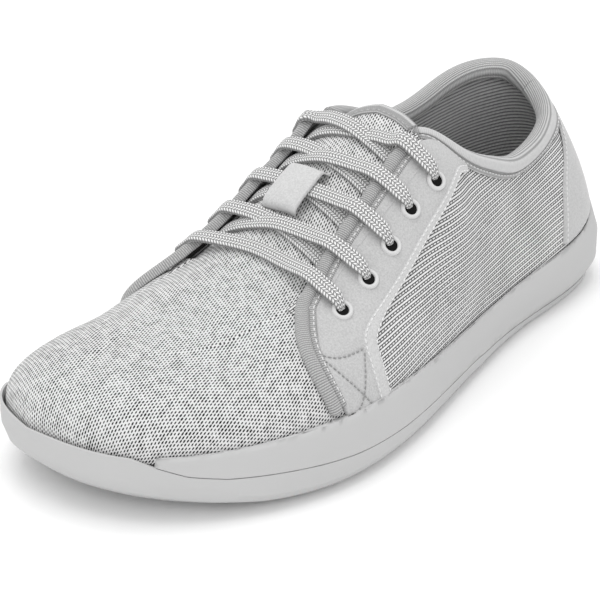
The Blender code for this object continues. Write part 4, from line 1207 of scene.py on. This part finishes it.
def make_eyestay(side, word, look, edge_look, thread, seam_thread):
    """Nubuck panel with its raised rear strip, sewn creases and stitching."""
    place, v = eyestay_grid(side)
    low = GAP + 0.0001
    edge = np.clip(border_distance(skin(side, place, v, low)[0]) / 0.0011, 0, 1)
    face = low + 0.00095 * dome(edge) + sewn_relief(place, v) * edge
    top, bottom = (skin(side, place, v, lift)[0] for lift in (face, low - 0.0003))
    flat = lookup(side, FLAT[side], place, v)
    slab_piece("eyestay_%s_panel" % word, top, bottom, flat, look, ("eyestay_" + word,))

    width = np.interp(np.linspace(0, 1, 70), *zip(*STRIP_WIDTHS))[2:]
    path, normal = on_skin(side, smooth_rows(STRIP_ROWS, 70)[2:], GAP + 0.0009)
    profiles = []
    for w in width:
        half = [(w, -0.0010), (w, 0.00035), (w * 0.5, 0.00062)]
        profiles.append(rounded(mirrored(half), 1))
    swept_piece("eyestay_%s_strip" % word, path, normal, profiles, edge_look)
    shift = sweep_across(path, normal) * (width - 0.0005)[:, None]
    seams = [(path + shift * edge + normal * 0.00058, normal) for edge in (-1, 1)]
    sewn_piece("eyestay_%s_thread" % word, seams, (0.0023, 0.0015, 0.00060, 0.00026), thread)
    seams = [on_skin(side, smooth_rows(rows, 40), GAP + 0.00105) for rows in SEWN_ROWS]
    sizes = (0.0020, 0.0014, 0.00050, 0.00018)
    sewn_piece("eyestay_%s_seam_thread" % word, seams, sizes, seam_thread)


# Sewn lines and crease of the eyestay's lower end, the crease second: place, v
SEWN_ROWS = (
    ((0.668, 0.664), (0.653, 0.594), (0.632, 0.560), (0.612, 0.538)),
    ((0.667, 0.640), (0.657, 0.520), (0.642, 0.390), (0.6235, 0.250)),
    ((0.615, 0.525), (0.6227, 0.462), (0.6361, 0.340), (0.6510, 0.272)),
)

# Half width of the raised strip along its run: share, metres
STRIP_WIDTHS = ((0, 0.0015), (0.55, 0.0015), (0.68, 0.0018), (0.80, 0.0030), (1.0, 0.0034))

# Raised strip along the eyestay's rear edge: place, v
STRIP_ROWS = (
    (0.3515, 0.935), (0.385, 0.845), (0.4255, 0.728), (0.4745, 0.677), (0.531, 0.627), (0.576, 0.592),
    (0.598, 0.560), (0.6045, 0.500), (0.6065, 0.392), (0.6045, 0.300), (0.6020, 0.200),
)


# Stitches beside the throat tape: place, share of the height
THROAT_ROWS = (
    (0.640, 0.852), (0.628, 0.882), (0.610, 0.897), (0.560, 0.903), (0.500, 0.907), (0.450, 0.910),
    (0.428, 0.912),
)


def height_line(side, rows, count):
    """Smooth line of places and v through rows of place and share of the height."""
    return smooth_rows([(p, v_at(side, p, h)) for p, h in rows], count)


def make_throat_seams(side, word, look, thread):
    """Line of stitches and low ridge beside the throat tape."""
    seam = on_skin(side, height_line(side, THROAT_ROWS, 80), GAP + 0.0010)
    sewn_piece("throat_%s_thread" % word, [seam], (0.0021, 0.0015, 0.00050, 0.00018), thread)
    rows = [(p, h - 0.062) for p, h in THROAT_ROWS[2:]]
    path, normal = on_skin(side, height_line(side, rows, 80), GAP + 0.0009)
    profile = rounded([(-0.0007, -0.0004), (0.0007, -0.0004), (0.0004, 0.0004), (-0.0004, 0.0004)], 1)
    swept_piece("throat_%s_ridge" % word, path, normal, [profile] * len(path), look)


def make_tape(side, word, look, thread):
    """Rolled knit tape up the front of the eyestay and along the throat."""
    rows = height_line(side, TAPE_ROWS, 170)
    path, normal = on_skin(side, rows, GAP)
    stand = 0.0025 if side > 0 else 0.0036
    share = np.linspace(0, 1, len(path))
    ends = np.sqrt(np.clip(np.minimum(share * 120, (1 - share) * 30), 0.02, 1))
    base = np.array(mirrored([(0.0026, -0.0004), (0.0027, 0.0008), (0.0015, stand)]))
    profiles = [rounded(base * (0.55 + 0.45 * e, 0.5 + 0.5 * e)) for e in ends]
    swept_piece("binding_%s_roll" % word, path, normal, profiles, look, ("binding_" + word,))
    across = sweep_across(path, normal)
    rearward = on_skin(side, rows - (0.01, 0.02), 0.0)[0] - on_skin(side, rows, 0.0)[0]
    behind = across * np.median(np.sign((across * rearward).sum(axis=1)))
    seam = ((path + behind * 0.0040 + normal * 0.00145)[3:], normal[3:])
    sewn_piece("binding_%s_thread" % word, [seam], (0.0024, 0.0015, 0.00055, 0.00024), thread)
    strip = (path + behind * 0.0037)[2:-1]
    profile = rounded([(-0.0014, -0.0003), (0.0014, -0.0003), (0.0012, 0.0014), (-0.0012, 0.0014)], 1)
    swept_piece("binding_%s_flat" % word, strip, normal[2:-1], [profile] * len(strip), look)


def make_counter(look, thread):
    """Nubuck heel counter with a row of stitches along its edges."""
    rows = np.array(COUNTER_ROWS)
    height = np.linspace(0.03, 1, 70)
    edge_place = cubic_spline(rows[:, 0], rows[:, 1], height)
    top, under, flats = [], [], []
    for u in np.linspace(-1, 1, 101):
        side = OUTER if u >= 0 else INNER
        place = abs(u) * edge_place
        v = below_edge(side, place, height, 0.0040)
        far = (1 - abs(u)) * edge_place * TOE_LENGTH
        top.append(skin(side, place, v, GAP + 0.0001 + 0.00095 * dome(far / 0.0010))[0])
        under.append(skin(side, place, v, GAP - 0.0002)[0])
        flats.append(lookup(side, RIB[side], place, v))
    slab_piece("counter_panel", np.array(top), np.array(under), flats, look, ("heel_counter",))
    place = edge_place - 0.0055
    seams = [skin(side, place, v_at(side, place, height * 0.94), GAP + 0.0011) for side in (OUTER, INNER)]
    sewn_piece("counter_thread", seams, (0.0021, 0.0015, 0.00050, 0.00020), thread)


def collar_frame(count):
    """Path, outward and upward directions and fullness of the collar's edge."""
    outer = np.linspace(THROAT_TOP - 0.004, 0.0, count)
    path, normal, size, tuck = [], [], [], []
    for side, places in ((OUTER, outer), (INNER, outer[::-1][1:])):
        p, n = skin(side, places, 1.0, 0.0)
        path.append(p)
        normal.append(n)
        size.append(np.interp(places, (0.30, THROAT_TOP - 0.004), (1.0, 0.62)))
        tuck.append(table_value(TUCK_ROWS, places))
    path, normal, size = np.vstack(path), np.vstack(normal), np.r_[tuple(size)]
    for _ in range(2):
        normal = np.stack([smoothed(column, np.hanning(17)[1:-1]) for column in normal.T], -1)
    along = np.gradient(path, axis=0)
    upward = unit(np.cross(normal, along))
    upward *= np.sign(upward[:, 2:])
    out = unit(np.cross(along, upward))
    out *= np.sign((out * normal).sum(axis=1))[:, None]
    return path, out, upward, size, np.concatenate(tuck)


def make_collar(look, thin_look, thread):
    """Padded knit roll round the opening, the thin band under it, and its seam."""
    path, out, upward, size, tuck = collar_frame(120)
    profiles = []
    for s, t in zip(size, tuck):
        inner, outer = -WALL - GAP, GAP
        face, back = 0.0029 * s - t, 0.0029 * s + 0.8 * t
        base = [
            (outer - 0.0003, -0.0028 * s), (outer + 0.70 * face, -0.0027 * s), (outer + face, -0.0010 * s),
            (outer + 0.95 * face, 0.0014 * s), (outer + 0.2 * face - 0.3 * t, 0.0037 * s),
            (inner - 0.2 * back, 0.0039 * s), (inner - 0.95 * back, 0.0018 * s),
            (inner - 1.05 * back, -0.0012 * s), (inner - 0.75 * back, -0.0038 * s),
            (inner + 0.0002, -0.0050 * s),
        ]
        profiles.append(rounded(base, 2))
    roll = swept_piece("collar_padding", path, upward, profiles, look, ("collar_roll",), out)
    corners = [(-0.0003, -0.0011), (0.0007, -0.0010), (0.0010, 0.0), (0.0007, 0.0010), (-0.0003, 0.0011)]
    base = rounded(corners, 1)
    below = path + out * (GAP + 0.0001) - upward * (0.0038 * size)[:, None]
    swept_piece("collar_band", below, upward, [base] * len(size), thin_look, (), out)
    seam = path + out * (GAP + 0.0010) - upward * (0.0036 * size)[:, None]
    sewn_piece("collar_thread", [(seam, out)], (0.0024, 0.0015, 0.00045, 0.00018), thread)


def tongue_start(side, place):
    """The v at which the tongue starts: under the facing, or inside the collar behind it."""
    length = np.interp(place, DENSE[side][0], DENSE[side][6])
    spread = np.interp(place, (THROAT_TOP - 0.007, THROAT_TOP + 0.03), (-0.12, 1.0))
    return np.where(spread > 0, 1 - spread * 0.006 / length, 1 - spread)


def tongue_grid(extra):
    """Points and weave places over the tongue from one side to the other, at an extra lift."""
    shares, steps, knots = np.linspace(0, 1, 90), np.linspace(0, 1, 36), np.linspace(1, 2, 60)
    points, flats = [], []
    for side in (OUTER, INNER):
        rows = np.array(TONGUE_EDGE[side])
        corner = tongue_start(side, rows[0, 1])
        edge = smoothed(np.interp(knots, rows[:, 0], rows[:, 1]), np.ones(9))
        first = np.interp(corner + steps * (2 - corner), knots, edge)
        place = first[None, :] + shares[:, None] * (TONGUE_FOOT - first[None, :])
        start = tongue_start(side, place)
        v = start + steps[None, :] * (2 - start)
        lift = -0.0026 - 0.0004 * smooth_step(0.60, 0.66, place) + extra
        points.append(skin(side, place, v, lift)[0])
        flats.append(lookup(side, FLAT[side], place, np.maximum(v, 1.0)))
    return [np.concatenate([outer, inner[:, -2::-1]], axis=1) for outer, inner in (points, flats)]


# Line of stitches across the vamp's end, under the tongue: side, v
VAMP_SEAM = (
    (OUTER, 1.08), (OUTER, 1.4), (OUTER, 1.7), (OUTER, 2.0), (INNER, 1.7), (INNER, 1.4), (INNER, 1.08),
)


def make_tongue(look, edge_look, thread):
    """Knit tongue, crowned between the facings, with the binding over its top edge."""
    top, flat = tongue_grid(0.0)
    bottom, _ = tongue_grid(-TONGUE_THICK + 0.0004)
    slab_piece("tongue_knit", top, bottom, flat, look, ("tongue",))
    middle = ((top + bottom) / 2)[:, :-13]
    path, rise = middle[0], middle[0] - middle[4]
    along = np.gradient(path, axis=0)
    across = unit(np.cross(along, unit(rise)))
    upward = unit(np.cross(across, along))
    upward *= np.sign((upward * rise).sum(axis=1))[:, None]
    across *= np.sign(across[:, 2:])
    w = TONGUE_THICK / 2 + 0.0008
    half = [(w, -0.0034), (w + 0.0004, -0.0016), (w * 0.85, 0.0012)]
    profile = rounded(half + [(0, 0.0020)] + [(-x, y) for x, y in half[::-1]] + [(0, -0.0030)])
    profiles = [profile] * len(path)
    swept_piece("tongue_edge", path, upward, profiles, edge_look, ("tongue_binding",), across)
    seam = (path + across * (w + 0.00015) - upward * 0.0022, across)
    sewn_piece("tongue_thread", [seam], (0.0024, 0.0016, 0.00045, 0.00016), thread)
    both = zip(*(skin(side, 0.638 + 0.010 * (v - 1), v, -0.0015) for side, v in VAMP_SEAM))
    seam = tuple(smooth_curve(rows, 60) for rows in both)
    sewn_piece("vamp_thread", [seam], (0.0026, 0.0012, 0.0004, 0.0001), thread)


# The keeper from front to rear: place, lift of its underside in mm; and across: side, v
KEEPER_ROWS = (
    (0.5035, -2.3), (0.5065, -1.6), (0.5100, 1.3), (0.5180, 2.3), (0.5340, 2.6), (0.5480, 2.5),
    (0.5580, 2.0), (0.5625, 0.6), (0.5630, -1.2),
)
KEEPER_LINE = (
    (INNER, 1.56), (INNER, 1.68), (INNER, 1.84), (INNER, 2.0), (OUTER, 1.94), (OUTER, 1.88), (OUTER, 1.81),
)


def make_keeper(look):
    """Nubuck loop over the middle crossing."""
    over, under = [], []
    for place, lift in smooth_rows(KEEPER_ROWS, 60):
        for thick, out in ((0.0012, over), (0.0, under)):
            line = [skin(side, place, v, lift / 1000 + thick)[0] for side, v in KEEPER_LINE]
            out.append(smooth_curve(line, 40))
    over, under = np.array(over), np.array(under)
    edge = border_distance(over)[..., None]
    over = under + (over - under) * (0.35 + 0.65 * dome(edge / 0.0009))
    flat = 0.4 * np.stack(np.meshgrid(np.arange(60), np.arange(40), indexing="ij"), -1)
    slab_piece("keeper_loop", over, under, flat, look, ("keeper",))


# Section of an eyelet's ring and of the dark disc of painted shade in it, where its hole would be: radius,
# height over the panel
EYELET_RING = (
    (0.00235, -0.0003), (0.00240, 0.0005), (0.00265, 0.00090), (0.00310, 0.00105),
    (0.00360, 0.00090), (0.00390, 0.00045), (0.00400, 0.0),
)
EYELET_HOLE_SHADE = ((0.0012, 0.00014), (0.0025, 0.0002))


def make_eyelet(side, word, name, place, v, look, dark):
    """Low rounded ring with a dark disc in it: painted shade where its hole would be."""
    centre, normal = skin(side, place, v, GAP + 0.0010)
    along = skin(side, place + 0.01, v, 0.0)[0] - skin(side, place, v, 0.0)[0]
    along = unit(along - normal * np.dot(along, normal))
    across = np.cross(normal, along)
    turn = np.linspace(0, 2 * math.pi, 40, endpoint=False)
    count = len(turn)
    pairs = [(i, (i + 1) % count) for i in range(count)]

    def circles(rows):
        arms = [math.cos(a) * along + math.sin(a) * across for a in turn]
        return [centre + radius * arm + lift * normal for radius, lift in rows for arm in arms]

    starts = range(0, count * (len(EYELET_RING) - 1), count)
    faces = [(r + i, r + j, r + count + j, r + count + i) for r in starts for i, j in pairs]
    node = "eyelet_%s_%s" % (word, name)
    piece("eyelet_%s_ring_%s" % (word, name), circles(EYELET_RING), faces, look, (node,))
    # Dark disc on the panel: painted shade standing in for the eyelet's hole, which is not cut
    faces = []
    for i, j in pairs:
        faces += [(0, 1 + i, 1 + j), (1 + i, 1 + count + i, 1 + count + j, 1 + j)]
    verts = [centre + 0.00012 * normal] + circles(EYELET_HOLE_SHADE)
    piece("eyelet_%s_mouth_%s" % (word, name), verts, faces, dark)


def make_eyelets(look, dark):
    """All eyelets, the outer side's first."""
    for side, word in ((OUTER, "outer"), (INNER, "inner")):
        for name, place, near, away in EYELETS:
            make_eyelet(side, word, name, place, near if side == OUTER else away, look, dark)


# Section of the lace, in shares of its half width and its thickness
LACE_PROFILE = rounded([
    (-1.0, 0.0), (-0.86, -0.5), (0.0, -0.56), (0.86, -0.5),
    (1.0, 0.0), (0.86, 0.5), (0.0, 0.56), (-0.86, 0.5),
])


def lace_piece(name, points, normals, look, stands_for=(), narrow_start=False):
    """Flat braided lace along a few guide points; where it enters an eyelet it gathers and turns in."""
    run = run_along(points)
    fine = np.linspace(0, run[-1], 150)
    path = cubic_spline(run, points, fine)
    up = unit(cubic_spline(run, normals, fine))
    along = unit(np.gradient(path, axis=0))
    up = unit(up - along * (up * along).sum(axis=1, keepdims=True))
    half, thick = np.full(len(fine), LACE_WIDTH / 2), np.full(len(fine), LACE_THICK)
    for far in (run[-1] - fine, fine) if narrow_start else (run[-1] - fine,):
        share = smooth_step(1.0, 9.0, 1000 * far)
        half = half * (0.50 + 0.50 * share)
        thick = thick * (1.30 - 0.30 * share)
    profiles = [LACE_PROFILE * sizes for sizes in zip(half, thick)]
    verts, faces = tube(path, np.cross(along, up), up, profiles)
    girth = np.tile(LACE_PROFILE[:, 0] * LACE_WIDTH / 2 * 1000, len(path))
    uv = np.stack([np.repeat(1000 * fine, len(LACE_PROFILE)), girth], -1)
    piece(name, verts, faces, look, stands_for, uv)


def guide(rows):
    """Points and normals of guide rows: side, place, v, lift in mm."""
    both = [skin(side, place, v, lift / 1000) for side, place, v, lift in rows]
    return np.array([p for p, _ in both]), np.array([n for _, n in both])


# The v at which a crossing starts under its facing, and its lifts in mm, over or under the other lace
HIDDEN_V = 0.93
OVER_LIFTS = (-2.0, -1.7, -1.5, -0.9, 0.6, 0.9, 1.5, 2.9, 4.3, 4.0, 3.6)
UNDER_LIFTS = (-2.0, -1.7, -1.6, -1.5, -1.3, -0.8, 0.7, 2.7, 4.3, 4.0, 3.6)


def crossing_rows(far, start, place, end_v, over):
    """Guide rows of a lace from under one facing to the eyelet of the other side."""
    near = -far
    lanes = [(far, v) for v in (HIDDEN_V, 1.06, 1.30, 1.65)]
    lanes += [(near, v) for v in (2.00, 1.70, 1.40, 1.16, 1.00, 0.5 + end_v / 2 + 0.015, end_v + 0.046)]
    first, last = skin(far, start, HIDDEN_V)[0], skin(near, place, end_v)[0]
    rows = []
    for (side, v), lift in zip(lanes, OVER_LIFTS if over else UNDER_LIFTS):
        at = start
        for _ in range(3):
            here = skin(side, at, v)[0]
            share = np.clip(abs(here[1] - first[1]) / abs(last[1] - first[1]), 0, 1)
            at = start + share * (place - start)
        rows.append((side, at, v, lift))
    return rows + [(near, place, end_v + 0.026, 2.4), (near, place, end_v + 0.010, -0.6)]


def bar_rows(place, near, away):
    """Guide rows of the bar from the outer side's last eyelet to the inner side's."""
    halves = []
    for side, v in ((OUTER, near), (INNER, away)):
        lanes = (v + 0.010, v + 0.026, v + 0.046, 0.5 + v / 2 + 0.015, 1.00, 1.18, 1.45)
        halves.append([(side, place, *pair) for pair in zip(lanes, (-0.6, 2.4, 3.7, 4.0, 4.2, 2.6, 0.2))])
    return halves[0] + [(OUTER, place, 2.0, -0.9)] + halves[1][::-1]


def make_laces(look):
    """Bar and crossings, each run through its eyelet."""
    lace_piece("lace_bar_braid", *guide(bar_rows(*EYELETS[4][1:])), look, ("lace_bar",), narrow_start=True)
    for k in range(4):
        name, place, near, away = EYELETS[k]
        start = (place + EYELETS[k + 1][1]) / 2
        rows = crossing_rows(INNER, start, place, near, k > 0)
        lace_piece("lace_outer_" + name, *guide(rows), look, ("lace_cross_" + name,))
        rows = crossing_rows(OUTER, start, place, away, k == 0)
        lace_piece("lace_inner_" + name, *guide(rows), look)


def make_soles(look, tread, foot_look):
    """Outsole, midsole and footbed from the part's own functions, with many stations."""
    for node, (verts, faces) in (("outsole", outsole()), ("midsole", midsole())):
        verts = np.array(verts)
        thing = piece(node + "_rubber", verts, faces, look, (node,), 1000 * verts[:, :2])
        soften = thing.modifiers.new("edges", "BEVEL")
        soften.width, soften.segments = 0.0007, 3
        soften.limit_method, soften.angle_limit = "ANGLE", math.radians(28)
        soften.use_clamp_overlap = True
        ready = thing.evaluated_get(bpy.context.evaluated_depsgraph_get())
        mesh = bpy.data.meshes.new_from_object(ready)
        thing.modifiers.clear()
        thing.data = mesh
        mesh.polygons.foreach_set("use_smooth", [True] * len(mesh.polygons))
        if node == "outsole":
            mesh.materials.append(tread)
            for face in mesh.polygons:
                if face.normal.z < -0.97:
                    face.material_index = 1
    shares = np.linspace(0, 1, 121)

    def raised(extra):
        return lambda side, s, plan: PLATFORM + extra + spring(plan[:, 0])

    edge = UPPER_INSET + WALL + 0.0014
    rows = ((0.0, GAP), (0.0, 0.0022), (0.0004, 0.0028), (0.0014, 0.0031))
    rings = [loop(shares, edge + inward, raised(extra)) for inward, extra in rows]
    verts, faces = stack(rings)
    piece("footbed", verts, faces, foot_look, ("insole",), 1000 * verts[:, :2])


def make_camera():
    """Camera at the photograph's angle, from the shoe's own axes to the row frame."""
    azimuth, elevation, far, tx, ty, tz, roll, focal = CAMERA
    a, e, k = (math.radians(value) for value in (azimuth, elevation, roll))
    back = np.array([math.cos(a) * math.cos(e), math.sin(a) * math.cos(e), math.sin(e)])
    place = np.array([tx, ty, tz]) + far * back
    right = np.cross(-back, (0, 0, 1))
    right /= np.linalg.norm(right)
    up = np.cross(right, -back)
    right, up = right * math.cos(k) + up * math.sin(k), -right * math.sin(k) + up * math.cos(k)
    at = to_row(place / 1000)
    columns = [(d[1], -d[0], d[2]) for d in (right, up, back)]
    camera = bpy.data.cameras.new("camera")
    camera.sensor_width = 36
    camera.lens = focal / 600 * 36
    camera.clip_start, camera.clip_end = 0.05, 20
    thing = bpy.data.objects.new("camera", camera)
    bpy.context.scene.collection.objects.link(thing)
    matrix = [[columns[c][r] for c in range(3)] + [at[r]] for r in range(3)] + [[0, 0, 0, 1]]
    thing.matrix_world = Matrix(matrix)
    bpy.context.scene.camera = thing


def make_floor():
    """Plain pale floor."""
    mesh = bpy.data.meshes.new("floor")
    s = 6.0
    mesh.from_pydata([(-s, -s, 0), (s, -s, 0), (s, s, 0), (-s, s, 0)], [], [(0, 1, 2, 3)])
    thing = bpy.data.objects.new("floor", mesh)
    bpy.context.scene.collection.objects.link(thing)
    look = bpy.data.materials.new("pale_floor")
    look.use_nodes = True
    shader = look.node_tree.nodes["Principled BSDF"]
    shader.inputs["Base Color"].default_value = (0.98, 0.98, 0.98, 1)
    shader.inputs["Roughness"].default_value = 0.9
    shader.inputs["Specular IOR Level"].default_value = 0.0
    mesh.materials.append(look)


def make_light(name, place, aim, size, power):
    """Soft area light."""
    lamp = bpy.data.lights.new(name, "AREA")
    lamp.shape = "SQUARE"
    lamp.size, lamp.energy = size, power
    thing = bpy.data.objects.new(name, lamp)
    thing.location = place
    thing.rotation_euler = (Vector(aim) - Vector(place)).to_track_quat("-Z", "Y").to_euler()
    bpy.context.scene.collection.objects.link(thing)


def make_world(level):
    """Even pale surroundings."""
    world = bpy.data.worlds.new("studio")
    world.use_nodes = True
    world.node_tree.nodes["Background"].inputs["Color"].default_value = (1, 1, 1, 1)
    world.node_tree.nodes["Background"].inputs["Strength"].default_value = level
    bpy.context.scene.world = world


def main():
    """Camera, lights and looks, then every piece of the shoe."""
    make_camera()
    make_floor()
    bpy.context.scene.view_settings.view_transform = "Standard"
    make_world(0.84)
    make_light("top", (-0.2, -0.1, 1.6), (0, 0, 0), 1.2, 11)
    make_light("front", (1.0, -1.2, 0.9), (0, 0, 0.03), 1.2, 3.5)

    # grey(10) here and grey(30) for the tongue: painted shade in the knit's openings
    vamp = knit_look("vamp_weave", grey(236), grey(10), 0.31)
    # grey(14) is painted shade in the grooves between the quarter's ribs
    quarter = rib_look("quarter_weave", grey(240), grey(14), 0.92)
    lining = fine_rib_look("lining_weave", grey(222), grey(116), pitch=1.5)
    nubuck = nap_look("nubuck", 188)
    pale_nubuck = nap_look("pale_nubuck", 197)
    tape_knit = fine_rib_look("tape_knit", grey(200), grey(140), pitch=0.85, bead=0.9, across=True)
    roll_knit = fine_rib_look("roll_knit", grey(212), grey(140), pitch=0.8, bead=0.85)
    band_knit = fine_rib_look("band_knit", grey(214), grey(150), pitch=0.8, bead=0.85)
    tongue_knit = knit_look("tongue_weave", grey(240), grey(30), 0.30)
    braid = braid_look("lace_braid", grey(240), grey(120))
    thread = plain_look("pale_thread", 224, 0.75, 0.2)
    dark_thread = plain_look("grey_thread", 188, 0.8, 0.2)
    seam_thread = plain_look("seam_thread", 150, 0.8, 0.2)
    paint = plain_look("eyelet_paint", 208, 0.42)
    # Near-black disc in each eyelet: painted shade where the hole would be
    hole_shade = plain_look("painted_hole_shade", 24, 0.9, 0.1)
    rubber = rubber_look("sole_rubber", 190)
    tread = tread_look("tread_rubber", 186)
    foot = fine_rib_look("footbed_weave", grey(150), grey(112), pitch=1.2, bead=1.2)

    make_soles(rubber, tread, foot)
    make_quarters(quarter)
    make_vamp(vamp)
    make_lining(lining)
    make_vamp_lining(lining)
    for side, word in ((OUTER, "outer"), (INNER, "inner")):
        make_eyestay(side, word, nubuck, pale_nubuck, thread, seam_thread)
        make_throat_seams(side, word, nubuck, thread)
        make_tape(side, word, tape_knit, thread)
    make_counter(nubuck, thread)
    make_collar(roll_knit, band_knit, thread)
    make_tongue(tongue_knit, band_knit, dark_thread)
    make_keeper(pale_nubuck)
    make_eyelets(paint, hole_shade)
    make_laces(braid)


main()
